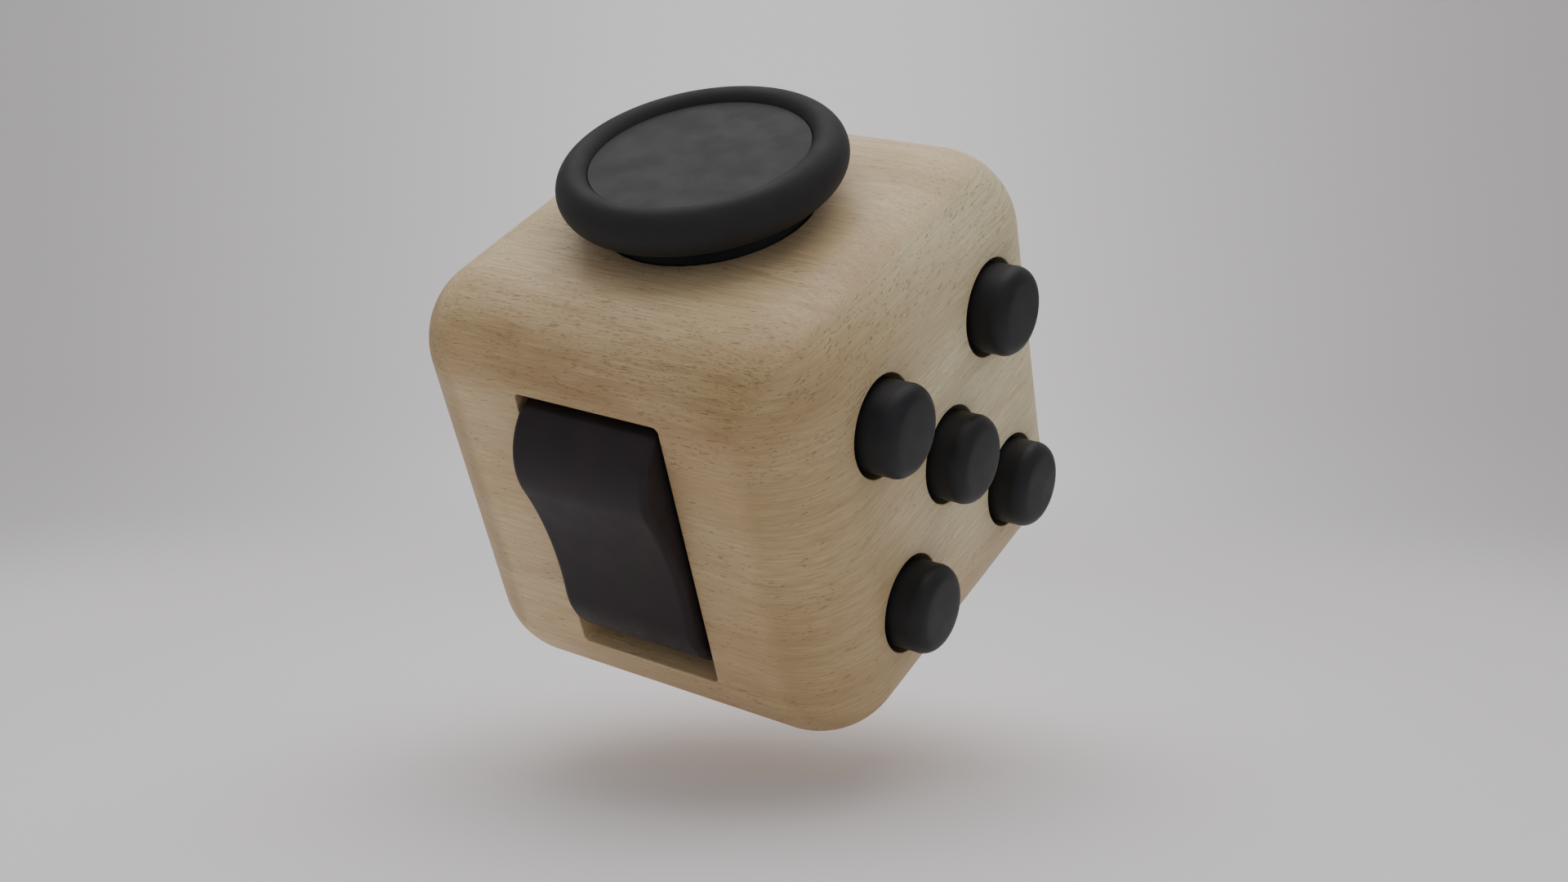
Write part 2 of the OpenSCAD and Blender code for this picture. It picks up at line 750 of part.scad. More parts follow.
module dial_screw() {
    color([0.55, 0.56, 0.58]) translate([-inner + 0.9, 0, half]) to_minus_x() difference() {
        union() {
            cylinder(r = 0.8, h = 3.4);
            translate([0, 0, -1]) cylinder(r = 2.6, h = 1);
        }
        translate([0, 0, -1 - eps]) cylinder(r = 1, h = 0.6 + eps, $fn = 6);
    }
}

shell_main();
shell_rear();
shell_dowels();
joystick_rim();
joystick_pad();
joystick_dome();
joystick_cap_screw();
gimbal_ring();
gimbal_pin();
joystick_base();
joystick_base_screws();
joystick_spring();
button_1();
button_2();
button_3();
button_4();
button_5();
button_dome_1();
button_dome_2();
button_dome_3();
button_dome_4();
button_dome_5();
button_plate();
button_plate_screws();
switch_rocker();
switch_axle();
switch_bracket();
switch_leaf_spring();
switch_bracket_screws();
wheel_1();
wheel_2();
wheel_3();
wheel_axle();
wheel_bracket();
wheel_bracket_screws();
click_ball();
ball_cup();
ball_spring();
ball_housing();
ball_housing_screws();
spin_dial();
dial_shaft();
dial_bush();
dial_washer();
dial_screw();
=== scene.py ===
"""Looks of the fidget cube: a wooden case with a joystick, buttons, rocker, dial, wheels and a ball."""
import json
import math

import bpy
from mathutils import Matrix, Vector
from mathutils.geometry import delaunay_2d_cdt


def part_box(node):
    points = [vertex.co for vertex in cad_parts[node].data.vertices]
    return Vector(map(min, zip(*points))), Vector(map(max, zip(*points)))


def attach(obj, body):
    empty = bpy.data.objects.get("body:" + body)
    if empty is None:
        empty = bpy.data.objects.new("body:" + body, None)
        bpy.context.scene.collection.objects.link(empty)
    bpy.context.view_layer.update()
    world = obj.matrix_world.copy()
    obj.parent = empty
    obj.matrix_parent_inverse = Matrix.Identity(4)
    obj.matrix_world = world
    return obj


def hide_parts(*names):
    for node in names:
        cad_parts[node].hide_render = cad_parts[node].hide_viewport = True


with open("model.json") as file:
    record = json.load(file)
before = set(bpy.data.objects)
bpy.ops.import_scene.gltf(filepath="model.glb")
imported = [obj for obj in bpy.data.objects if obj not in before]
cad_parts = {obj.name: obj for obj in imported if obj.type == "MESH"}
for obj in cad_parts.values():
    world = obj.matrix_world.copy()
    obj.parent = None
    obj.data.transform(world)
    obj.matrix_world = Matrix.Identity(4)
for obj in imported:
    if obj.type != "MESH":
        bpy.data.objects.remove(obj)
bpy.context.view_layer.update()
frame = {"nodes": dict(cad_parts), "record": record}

MM = 0.001
TAU = 2 * math.pi


def mm(point):
    """A point of the frame, in millimetres."""
    return Vector(point) / MM


# ---------------------------------------------------------------- sizes, in mm

main_low, main_high = (mm(p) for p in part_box("shell_main"))
HALF = (main_high.x - main_low.x) / 2  # half the cube's edge
MIDDLE = (main_low + main_high) / 2    # the cube's middle
EDGE = 6.0                             # radius of the rounded edges
FLAT = HALF - EDGE                     # half width of the flat part of a face
WALL = 2.6                             # thickness of the case's walls
LIP = 0.09                             # rounding at the rim of each opening
SEAM = 0.14                            # chamfer along the seam of the two halves
SLOT_CORNER = 0.25                     # rounding of a wheel slot's corners
STEPS = 24                             # steps in a quarter turn of an edge
OVERLAP = 2                            # steps of an edge that belong to a face's own sheet
LIP_STEPS, WALL_STEPS = 4, 8           # rings round an opening's lip, and from there through the wall

X, Y, Z = Vector((1, 0, 0)), Vector((0, 1, 0)), Vector((0, 0, 1))


def middle_of(node):
    low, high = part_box(node)
    return mm((low + high) / 2)


def link(thing):
    bpy.context.scene.collection.objects.link(thing)


# ---------------------------------------------------------------- mesh building

class Shape:
    """A mesh being built, in millimetres, which keeps a normal for each corner of each face."""
    CELLS = 2e4        # cells in a millimetre; points in one cell are one point
    OFF_EDGE = 0.3137  # keeps round sizes off a cell's edge

    def __init__(self):
        self.points, self.index, self.faces, self.normals = [], {}, [], []

    def point(self, p):
        key = tuple(math.floor(c * self.CELLS + self.OFF_EDGE) for c in p)
        if key not in self.index:
            self.index[key] = len(self.points)
            self.points.append(Vector(p))
        return self.index[key]

    def face(self, corners):
        """corners are (point, normal) pairs; the face is turned to agree with its normals."""
        ids, normals = [], []
        for p, n in corners:
            i = self.point(p)
            if i not in ids:
                ids.append(i)
                normals.append(Vector(n).normalized())
        if len(ids) < 3:
            return
        across = Vector()
        for k in range(len(ids)):
            across += self.points[ids[k]].cross(self.points[ids[(k + 1) % len(ids)]])
        if across.dot(sum(normals, Vector())) < 0:
            ids.reverse()
            normals.reverse()
        self.faces.append(ids)
        self.normals.append(normals)

    def build(self, name, body, replaced, slot, material):
        mesh = bpy.data.meshes.new(name)
        mesh.from_pydata([p * MM for p in self.points], [], self.faces)
        mesh.polygons.foreach_set("use_smooth", [True] * len(self.faces))
        mesh.normals_split_custom_set([n for face in self.normals for n in face])
        mesh.materials.append(material)
        obj = bpy.data.objects.new(name, mesh)
        link(obj)
        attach(obj, body)
        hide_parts(*replaced)
        return obj


def axis_place(origin, direction):
    """Matrix that puts a shape built along +Z at origin, pointing along direction."""
    return Matrix.Translation(origin) @ Vector(direction).to_track_quat("Z", "Y").to_matrix().to_4x4()


def arc(r, h, radius, start, end, steps):
    """Profile points (r, h, normal r, normal h) on an arc, in degrees."""
    found = []
    for k in range(steps + 1):
        a = math.radians(start + (end - start) * k / steps)
        c, s = math.cos(a), math.sin(a)
        found.append((r + radius * c, h + radius * s, c, s))
    return found


def line(r0, h0, r1, h1):
    """Profile points at the ends of a straight line, with the normal on its right."""
    d = Vector((r1 - r0, h1 - h0)).normalized()
    return [(r0, h0, d.y, -d.x), (r1, h1, d.y, -d.x)]


def lathe(shape, profile, place, segments):
    """Turn a profile round the Z axis of place."""
    turn = place.to_3x3()
    for k in range(segments):
        ends = [(math.cos(a), math.sin(a)) for a in (TAU * k / segments, TAU * (k + 1) / segments)]
        for p, q in zip(profile, profile[1:]):
            if abs(p[0] - q[0]) + abs(p[1] - q[1]) < 1e-6:
                continue
            corners = []
            for (c, s), (r, h, nr, nh) in ((ends[0], p), (ends[1], p), (ends[1], q), (ends[0], q)):
                corners.append((place @ Vector((r * c, r * s, h)), turn @ Vector((nr * c, nr * s, nh))))
            shape.face(corners)


def circle(u, v, radius, count=96):
    """Outline points (u, v, normal u, normal v)."""
    found = []
    for k in range(count):
        a = TAU * (k + 0.5) / count
        found.append((u + radius * math.cos(a), v + radius * math.sin(a), math.cos(a), math.sin(a)))
    return found


def soft_rect(u, v, width, height, radius, steps):
    """Outline points of a rectangle with rounded corners."""
    found = []
    for quarter, (su, sv) in enumerate(((1, 1), (-1, 1), (-1, -1), (1, -1))):
        cu, cv = u + su * (width / 2 - radius), v + sv * (height / 2 - radius)
        for k in range(steps + 1):
            a = (quarter + k / steps) * math.pi / 2
            found.append((cu + radius * math.cos(a), cv + radius * math.sin(a), math.cos(a), math.sin(a)))
    return found


def inside(outline, u, v):
    """Whether (u, v) lies inside a closed outline."""
    hit = False
    for p, q in zip(outline, outline[1:] + outline[:1]):
        if (p[1] > v) != (q[1] > v) and u < (q[0] - p[0]) * (v - p[1]) / (q[1] - p[1]) + p[0]:
            hit = not hit
    return hit


def fill(borders, holes, lines=()):
    """Triangles between the border polygons and the hole polygons, as lists of (u, v)."""
    points, edges = [], []
    for loop in list(borders) + list(holes):
        first = len(points)
        points += [Vector((p[0], p[1])) for p in loop]
        edges += [(first + k, first + (k + 1) % len(loop)) for k in range(len(loop))]
    for p, q in lines:
        edges.append((len(points), len(points) + 1))
        points += [Vector(p), Vector(q)]
    verts, _, faces = delaunay_2d_cdt(points, edges, [], 0, 1e-6)[:3]
    found = []
    for face in faces:
        u = sum(verts[i].x for i in face) / len(face)
        v = sum(verts[i].y for i in face) / len(face)
        if any(inside(b, u, v) for b in borders) and not any(inside(h, u, v) for h in holes):
            found.append([(verts[i].x, verts[i].y) for i in face])
    return found


# ---------------------------------------------------------------- the wooden case

FACES = {"top": (Z, X, Y), "front": (-Y, X, Z), "right": (X, Y, Z),
         "left": (-X, Y, Z), "back": (Y, X, Z), "bottom": (-Z, X, Y)}


def skin(u, v, depth=0.0):
    """Height above the middle, and normal, of the rounded cube's face at (u, v)."""
    radius = EDGE - depth
    du, dv = max(abs(u) - FLAT, 0), max(abs(v) - FLAT, 0)
    rise = math.sqrt(radius * radius - du * du - dv * dv)
    return FLAT + rise, (math.copysign(du, u) / radius, math.copysign(dv, v) / radius, rise / radius)


class Opening:
    """An opening through a wall. shape_at(u, v, nu, nv, depth) gives a wall point's (u, v) and its normal."""

    def __init__(self, outline, shape_at=None, lip=LIP):
        self.outline, self.lip = outline, lip
        self.shape_at = shape_at or (lambda u, v, nu, nv, depth: (u, v, (-nu, -nv, 0)))

    def rings(self):
        """Lists of (u, v, depth, normal), from the face's surface to the inside of the wall."""
        found = []
        for k in range(LIP_STEPS + 1):
            a = math.radians(90 * k / LIP_STEPS)
            spread, depth = self.lip * (1 - math.sin(a)), self.lip * (1 - math.cos(a))
            ring = []
            s = math.sin(a)
            for u, v, nu, nv in self.outline:
                ring.append((u + nu * spread, v + nv * spread, depth, (-nu * s, -nv * s, math.cos(a))))
            found.append(ring)
        for k in range(WALL_STEPS + 1):
            depth = self.lip + (WALL - self.lip) * k / WALL_STEPS
            ring = []
            for spot in self.outline:
                u, v, normal = self.shape_at(*spot, depth)
                ring.append((u, v, depth, normal))
            found.append(ring)
        return found


def ball_seat(u0, v0, radius, rise, count=96):
    """Opening cut by a ball whose middle lies rise below the face."""
    at_lip = math.sqrt(radius ** 2 - (rise - LIP) ** 2)

    def shape_at(u, v, nu, nv, depth):
        here = math.sqrt(radius ** 2 - (rise - depth) ** 2)
        grow = here - at_lip
        return (u + nu * grow, v + nv * grow,
                (-nu * here / radius, -nv * here / radius, -(rise - depth) / radius))

    return Opening(circle(u0, v0, at_lip, count), shape_at)


def wheel_slot(u0, v0, width, radius, rise):
    """Slot cut by a wheel-shaped cutter whose axle lies rise below the face."""
    at_lip = math.sqrt(radius ** 2 - (rise - LIP) ** 2)

    def shape_at(u, v, nu, nv, depth):
        here = math.sqrt(radius ** 2 - (rise - depth) ** 2)
        tilt = (rise - depth) / radius
        return (u, v0 + (v - v0) * here / at_lip,
                (-nu, -nv * math.sqrt(1 - tilt * tilt), -abs(nv) * tilt))

    return Opening(soft_rect(u0, v0, width, 2 * at_lip, SLOT_CORNER, 4), shape_at)


class Dimple:
    """A shallow round hollow that doesn't go through the wall, cut by a ball, with a soft rim."""
    BLEND_STEPS, BOWL_STEPS = 8, 14

    def __init__(self, ball, depth, blend):
        self.ball, self.out, self.blend = ball, ball - depth, blend
        self.reach = math.sqrt((ball + blend) ** 2 - (self.out + blend) ** 2)
        self.outline = circle(0, 0, self.reach, 128)

    def rings(self):
        found = []
        turn = math.asin(self.reach / (self.ball + self.blend))
        for k in range(self.BLEND_STEPS + 1):
            a = turn * k / self.BLEND_STEPS
            found.append((self.reach - self.blend * math.sin(a), self.blend * (1 - math.cos(a)), a))
        for k in range(1, self.BOWL_STEPS + 1):
            a = turn * (1 - k / self.BOWL_STEPS)
            found.append((self.ball * math.sin(a), self.ball * math.cos(a) - self.out, a))
        return [[(nu * r, nv * r, depth, (-nu * math.sin(a), -nv * math.sin(a), math.cos(a)))
                 for _, _, nu, nv in self.outline] for r, depth, a in found]


def case_half(openings, extend, strips, corners, sides):
    """One half of the case as a closed solid.

    openings: {face: [openings]}
    extend: {face: (along a, along b)}, whether the face's sheet runs a little way round the edges
    strips: rounded edges, as (direction, (face normal, steps left out), (face normal, steps left out))
    corners: signs of the rounded corners
    sides: seam planes, as (axis, place, facing)
    """
    shape = Shape()
    outer = {}    # vertex number: [position, normal, inner position]
    sheet = []    # faces of the outside, as vertex numbers
    rims = set()  # vertex numbers round the openings

    def vertex(p, n, inner=None):
        """Number of the outside's point p, given from the middle; inner is its partner on the inside."""
        i = shape.point(MIDDLE + p)
        if i not in outer:
            outer[i] = [MIDDLE + p, n, MIDDLE + (p - n * WALL if inner is None else inner)]
        return i

    for name in openings:
        n, a, b = FACES[name]

        def on_face(u, v):
            """Point of the outside at (u, v), from the middle, and its normal."""
            h, nn = skin(u, v)
            return a * u + b * v + n * h, a * nn[0] + b * nn[1] + n * nn[2]

        reach = EDGE * math.sin(math.radians(90 * OVERLAP / STEPS)) + FLAT
        ua, vb = (reach if e else FLAT for e in extend[name])
        borders = [[(-FLAT, -FLAT), (FLAT, -FLAT), (FLAT, FLAT), (-FLAT, FLAT)]]
        lines = []
        for wide, swap in ((ua, False), (vb, True)):
            if wide > FLAT:
                for s in (-1, 1):
                    marks = [FLAT + EDGE * math.sin(math.radians(90 * k / STEPS)) for k in range(OVERLAP + 1)]
                    band = [(s * marks[0], -FLAT)] + [(s * m, -FLAT) for m in marks[1:]] \
                        + [(s * m, FLAT) for m in reversed(marks)]
                    lines += [((s * m, -FLAT), (s * m, FLAT)) for m in marks]
                    if swap:
                        band = [(q, p) for p, q in band]
                        swapped = [((q0, p0), (q1, p1)) for (p0, q0), (p1, q1) in lines[-len(marks):]]
                        lines[-len(marks):] = swapped
                    borders.append(band)
        holes = []
        for opening in openings[name]:
            rings = opening.rings()
            holes.append([(p[0], p[1]) for p in rings[0]])
            blind = isinstance(opening, Dimple)

            def place(u, v, depth, face_normal):
                low, _ = skin(u, v, WALL)
                high, _ = skin(u, v, 0)
                t = 0 if blind else depth / WALL
                height = high - depth if blind else high * (1 - t) + low * t
                nu, nv, nn = face_normal
                return MIDDLE + a * u + b * v + n * height, a * nu + b * nv + n * nn

            spots = [[place(*q) for q in ring] for ring in rings]
            for near, far in zip(spots, spots[1:]):
                for k in range(len(near)):
                    m = (k + 1) % len(near)
                    shape.face([near[k], near[m], far[m], far[k]])
            if not blind:
                for q, end in zip(rings[0], spots[-1]):
                    rims.add(vertex(*on_face(q[0], q[1]), end[0] - MIDDLE))
        for triangle in fill(borders, holes, lines):
            sheet.append([vertex(*on_face(u, v)) for u, v in triangle])
        if any(isinstance(o, Dimple) for o in openings[name]):
            ids = [shape.point(MIDDLE + a * p[0] + b * p[1] + n * HALF) for p in holes[0]]
            rims.update(ids)
            shape.face([(outer[i][2], -n) for i in ids])  # the flat inside of the wall over the dimple

    for along, (n1, first), (n2, last) in strips:
        for k in range(first, STEPS - last):
            ids = []
            for step, s in ((k, -1), (k + 1, -1), (k + 1, 1), (k, 1)):
                t = math.radians(90 * step / STEPS)
                n = n1 * math.cos(t) + n2 * math.sin(t)
                ids.append(vertex(along * s * FLAT + (n1 + n2) * FLAT + n * EDGE, n))
            sheet.append(ids)

    for sx, sy, sz in corners:
        ax, ay, az = X * sx, Y * sy, Z * sz
        for j in range(STEPS):
            for k in range(STEPS):
                ids = []
                for lat, lon in ((j, k), (j + 1, k), (j + 1, k + 1), (j, k + 1)):
                    t, f = math.radians(90 * lat / STEPS), math.radians(90 * lon / STEPS)
                    n = (ax * math.cos(f) + ay * math.sin(f)) * math.cos(t) + az * math.sin(t)
                    i = vertex((ax + ay + az) * FLAT + n * EDGE, n)
                    if i not in ids:
                        ids.append(i)
                sheet.append(ids)

    uses = {}
    for ids in sheet:
        for p, q in zip(ids, ids[1:] + ids[:1]):
            uses[frozenset((p, q))] = uses.get(frozenset((p, q)), 0) + 1

    def on(i, side):
        return abs((outer[i][0] - MIDDLE)[side[0]] - side[1]) < 1e-4

    seam_edges = [tuple(e) for e, count in uses.items()
                  if count == 1 and not e <= rims and any(all(on(i, s) for i in e) for s in sides)]

    shift = {}
    for edge in seam_edges:
        for side in sides:
            if all(on(i, side) for i in edge):
                for i in edge:
                    shift.setdefault(i, {})[side[0]] = side
    moved = {i: outer[i][0] - sum((s[2] * SEAM for s in found.values()), Vector())
             for i, found in shift.items()}

    for ids in sheet:
        shape.face([(moved.get(i, outer[i][0]), outer[i][1]) for i in ids])
        shape.face([(outer[i][2], -outer[i][1]) for i in ids])
    for i, j in seam_edges:
        side = next(s for s in sides if on(i, s) and on(j, s))
        facing = side[2]
        low = [(outer[k][0] - outer[k][1] * SEAM) for k in (i, j)]
        shape.face([(moved[i], outer[i][1] + facing), (moved[j], outer[j][1] + facing),
                    (low[1], outer[j][1] + facing), (low[0], outer[i][1] + facing)])
        shape.face([(low[0], facing), (low[1], facing), (outer[j][2], facing), (outer[i][2], facing)])
    return shape


PIVOT = middle_of("gimbal_pin")
NECK_SEAT = 7.97  # radius of the ball-shaped hole under the joystick
button_spots = [middle_of(f"button_{i}") for i in range(1, 6)]
BUTTON_HOLE = 3.46                          # radius
RECESS, RECESS_CORNER = (11.72, 21.5), 0.4  # width and height of the rocker's recess
DIAL_HOLE, DIAL_LIP = 3.0, 0.05             # radius of the hole for the dial's shaft, and its lip
WHEEL_SIDE_GAP, WHEEL_RIM_GAP = 0.2, 0.22   # air beside and round each wheel
BALL_GAP = 0.2                              # air round the click ball
DIMPLE_BALL, DIMPLE_DEPTH, DIMPLE_BLEND = 20.0, 1.7, 1.5
wheel_spots = [middle_of(f"wheel_{i}") for i in (1, 2, 3)]
wheel_low, wheel_high = (mm(p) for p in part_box("wheel_2"))
WHEEL_RADIUS = (wheel_high.z - wheel_low.z) / 2
WHEEL_WIDTH = wheel_high.x - wheel_low.x
BALL = middle_of("click_ball")
ball_low, ball_high = (mm(p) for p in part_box("click_ball"))
BALL_RADIUS = (ball_high.x - ball_low.x) / 2

main_shape = case_half(
    {"top": [ball_seat(0, 0, NECK_SEAT, main_high.z - PIVOT.z, 128)],
     "front": [Opening(soft_rect(0, 0, *RECESS, RECESS_CORNER, 6))],
     "right": [Opening(circle(p.y, p.z - MIDDLE.z, BUTTON_HOLE)) for p in button_spots]},
    {"top": (False, False), "front": (False, True), "right": (True, True)},
    [(X, (-Y, OVERLAP), (Z, 0)), (X, (Y, 0), (Z, 0)), (Y, (X, OVERLAP), (Z, 0)), (Y, (-X, 0), (Z, 0)),
     (Z, (X, OVERLAP), (Y, 0)), (Z, (X, OVERLAP), (-Y, 0)), (Z, (-X, 0), (-Y, 0)),
     (X, (-Y, OVERLAP), (-Z, 0)), (Y, (X, OVERLAP), (-Z, 0))],
    [(1, 1, 1), (-1, 1, 1), (1, -1, 1), (-1, -1, 1), (1, 1, -1), (1, -1, -1), (-1, -1, -1)],
    [(1, -FLAT, Y), (2, FLAT, -Z), (0, FLAT, -X)])
rear_shape = case_half(
    {"left": [Opening(circle(0, 0, DIAL_HOLE), lip=DIAL_LIP)],
     "back": [wheel_slot(p.x, p.z - MIDDLE.z, WHEEL_WIDTH + 2 * WHEEL_SIDE_GAP,
                         WHEEL_RADIUS + WHEEL_RIM_GAP, HALF - p.y) for p in wheel_spots]
     + [ball_seat(0, BALL.z - MIDDLE.z, BALL_RADIUS + BALL_GAP, HALF - BALL.y)],
     "bottom": [Dimple(DIMPLE_BALL, DIMPLE_DEPTH, DIMPLE_BLEND)]},
    {"left": (False, False), "back": (False, False), "bottom": (False, False)},
    [(Z, (-X, 0), (Y, 0)), (X, (Y, 0), (-Z, 0)), (Y, (-X, 0), (-Z, 0))],
    [(-1, 1, -1)],
    [(1, -FLAT, -Y), (2, FLAT, Z), (0, FLAT, X)])


# ---------------------------------------------------------------- the moving parts

def dished_face(shape, place, radius, height, u, v, ball, rise):
    """Flat round face at height, with a hollow at (u, v) cut by a ball whose middle lies rise above it."""
    up = place.to_3x3() @ Z
    lip = 0.25  # rounding round the hollow
    reach = math.sqrt((ball + lip) ** 2 - (rise + lip) ** 2)
    angle = math.asin(reach / (ball + lip))
    profile = [(reach - lip * math.sin(a), height - lip * (1 - math.cos(a)), -math.sin(a), math.cos(a))
               for a in (angle * k / 6 for k in range(7))]
    profile += [(ball * math.sin(a), height + rise - ball * math.cos(a), -math.sin(a), math.cos(a))
                for a in (angle * (1 - k / 10) for k in range(11))]
    lathe(shape, profile, place @ Matrix.Translation((u, v, 0)) @ Matrix.Rotation(TAU / 128, 4, "Z"), 64)
    outline = [(p[0], p[1]) for p in circle(0, 0, radius, 128)]
    hole = [(u + p[0], v + p[1]) for p in circle(0, 0, reach, 64)]
    for triangle in fill([outline], [hole]):
        shape.face([(place @ Vector((p[0], p[1], height)), up) for p in triangle])


# Joystick: thick round rim with a web across it, and the thumb pad that lies in it
rim_low, rim_high = (mm(p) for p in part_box("joystick_rim"))
TUBE, INNER_ROUND = 1.75, 1.1  # radii of the rim's round section and of its smaller inner rounding
TURN = 55                      # degrees round the section where the inner rounding starts
WEB_DOWN = TUBE - 0.2          # from the middle of the section down to the web's underside
TOP_SPARE = 0.0082             # the rim's top stays this far below the CAD rim's
turn_out = Vector((math.cos(math.radians(TURN)), math.sin(math.radians(TURN)))) * (TUBE - INNER_ROUND)
RING = rim_high.x - TUBE
rim_z = rim_high.z - TOP_SPARE - turn_out.y - INNER_ROUND
round_at = Vector((RING, rim_z)) + turn_out
web_low, web_top = rim_z - WEB_DOWN, rim_z + 0.05
pad_low, pad_high = (mm(p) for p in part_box("joystick_pad"))
PAD = 7.62
crease = math.degrees(math.acos((PAD - round_at.x) / INNER_ROUND))
crease_z = round_at.y + INNER_ROUND * math.sin(math.radians(crease))
start = -90 - math.degrees(math.acos(WEB_DOWN / TUBE))
rim_profile = line(0, web_low, RING + TUBE * math.cos(math.radians(start)), web_low) \
    + arc(RING, rim_z, TUBE, start, TURN, 36) + arc(*round_at, INNER_ROUND, TURN, crease - 7, 18)[1:]
rim_profile += [(PAD + 0.03, crease_z - 0.06, -0.85, 0.52),  # the crease turns softly down beside the pad
                (PAD, crease_z - 0.18, -1, 0), (PAD, web_top, -1, 0)]
rim_profile += line(PAD, web_top, 0, web_top)
rim_shape = Shape()
lathe(rim_shape, rim_profile, Matrix.Identity(4), 160)

pad_radius, pad_round = PAD - 0.01, 0.07
pad_shape = Shape()
lathe(pad_shape, line(0, pad_low.z, pad_radius, pad_low.z)
      + line(pad_radius, pad_low.z, pad_radius, pad_high.z - pad_round)
      + arc(pad_radius - pad_round, pad_high.z - pad_round, pad_round, 0, 90, 6)
      + [(0, pad_high.z, 0, 1)], Matrix.Identity(4), 160)

# Buttons: cap with a softly rounded rim, flange behind the wall and a thin stem
CAP, FLANGE, STEM = 3.12, 4.1, 0.9        # radii
CAP_SOFT, CROWN, TAPER = 1.1, 0.05, 0.02  # the cap's rim rounding, its face's swell, its side's taper
FLANGE_BACK, FLANGE_FRONT = 13.0, 13.85   # the flange's faces, from the cube's middle
button_shapes = []
for i, spot in enumerate(button_spots, 1):
    low, high = (mm(p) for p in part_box(f"button_{i}"))
    profile = [(0, low.x, 0, -1)] + line(0, low.x, STEM, low.x) + line(STEM, low.x, STEM, FLANGE_BACK) \
        + line(STEM, FLANGE_BACK, FLANGE, FLANGE_BACK) + line(FLANGE, FLANGE_BACK, FLANGE, FLANGE_FRONT) \
        + line(FLANGE, FLANGE_FRONT, CAP, FLANGE_FRONT) \
        + line(CAP, FLANGE_FRONT, CAP - TAPER, high.x - CAP_SOFT)
    profile += [(CAP - CAP_SOFT + CAP_SOFT * math.cos(t), high.x - CROWN - CAP_SOFT + CAP_SOFT * math.sin(t),
                 math.cos(t), math.sin(t)) for t in (math.radians(4 + 80 * k / 14) for k in range(15))]
    inner_r, edge_h = profile[-1][:2]
    rise = high.x - edge_h
    bend = (inner_r ** 2 + rise ** 2) / (2 * rise)
    profile += [(inner_r * (1 - k / 5), high.x - bend + math.sqrt(bend ** 2 - (inner_r * (1 - k / 5)) ** 2),
                 inner_r * (1 - k / 5) / bend, 1) for k in range(1, 6)]
    shape = Shape()
    lathe(shape, profile, axis_place((0, spot.y, spot.z), X), 96)
    button_shapes.append(shape)

# Rocker: two rounded noses with a hollow between them, and soft side edges
ROCKER_DEPTH, TILT = 2.5, math.radians(6.5)  # axle's depth behind the face, and the tip at rest
NOSE, NOSE_UP = 5.0, 5.8                     # a nose's radius, and its centre above the axle
NOSE_OUT = ROCKER_DEPTH + 1.7 - NOSE         # the nose's centre out from the axle
NOSE_STOP = math.radians(61.2)               # where a nose gives way to the rocker's end
HOLLOW_OUT = ROCKER_DEPTH + 1.15             # the hollow's bottom out from the axle
END = 10.35                                  # radius of the rocker's ends round the axle
BACK = -2.2                                  # the rocker's back face out from the axle
rocker_axle = Vector((0, -HALF + ROCKER_DEPTH, MIDDLE.z))
hollow_bend = (NOSE_UP ** 2 + (HOLLOW_OUT - NOSE_OUT) ** 2 - NOSE ** 2) / (2 * (NOSE - HOLLOW_OUT + NOSE_OUT))
nose_angle = math.asin(NOSE_UP / (NOSE + hollow_bend))  # where a nose meets the hollow
ROCKER_HALF, SIDE_SOFT = 11.1 / 2, 0.55                 # half its width, and the rounding of its side edges


def rocker_outline():
    """Upper half of the rocker's side view, from the hollow's middle to its back, as (out, up, normals)."""
    centre = HOLLOW_OUT + hollow_bend
    found = [(centre - hollow_bend * math.cos(a), hollow_bend * math.sin(a), math.cos(a), -math.sin(a))
             for a in (nose_angle * k / 12 for k in range(13))]
    for k in range(1, 25):
        a = -nose_angle + (NOSE_STOP + nose_angle) * k / 24
        found.append((NOSE_OUT + NOSE * math.cos(a), NOSE_UP + NOSE * math.sin(a), math.cos(a), math.sin(a)))
    at = found[-1]
    # round the corner between the nose and the end, then follow the end's arc to the back
    back_angle = math.acos(BACK / END)
    first = math.acos((at[0] - 0.25) / END)
    for k in range(4):
        t = (k + 1) / 4
        a = NOSE_STOP + (first - NOSE_STOP) * t
        p = Vector((at[0], at[1])).lerp(Vector((END * math.cos(first), END * math.sin(first))), t)
        found.append((p.x, p.y, math.cos(a), math.sin(a)))
    for k in range(1, 9):
        a = first + (back_angle - first) * k / 8
        found.append((END * math.cos(a), END * math.sin(a), math.cos(a), math.sin(a)))
    return found


upper = rocker_outline()
outline = [(o, -u, no, -nu) for o, u, no, nu in reversed(upper)] + upper[1:]
cos_t, sin_t = math.cos(TILT), math.sin(TILT)


def rocker_dir(x, out, up):
    """A direction of the rocker as it stands at rest."""
    return Vector((x, -(out * cos_t + up * sin_t), up * cos_t - out * sin_t))


def rocker_at(x, out, up):
    """A point of the rocker as it stands at rest, measured from its axle."""
    return rocker_axle + rocker_dir(x, out, up)


rocker_shape = Shape()
rows = []  # (x, inset, normal x, share of the outline's normal)
for k in range(9):
    s, c = math.sin(math.radians(90 * k / 8)), math.cos(math.radians(90 * k / 8))
    rows.append((ROCKER_HALF - SIDE_SOFT + SIDE_SOFT * s, SIDE_SOFT * (1 - c), s, c))
rows = [(-x, inset, -nx, nn) for x, inset, nx, nn in reversed(rows)] + rows


def row_point(row, p):
    """Point and normal where one row across the rocker meets the outline's point p."""
    x, inset, nx, nn = row
    out = max(p[0] - p[2] * inset, BACK)
    return rocker_at(x, out, p[1] - p[3] * inset), rocker_dir(nx, p[2] * nn, p[3] * nn)


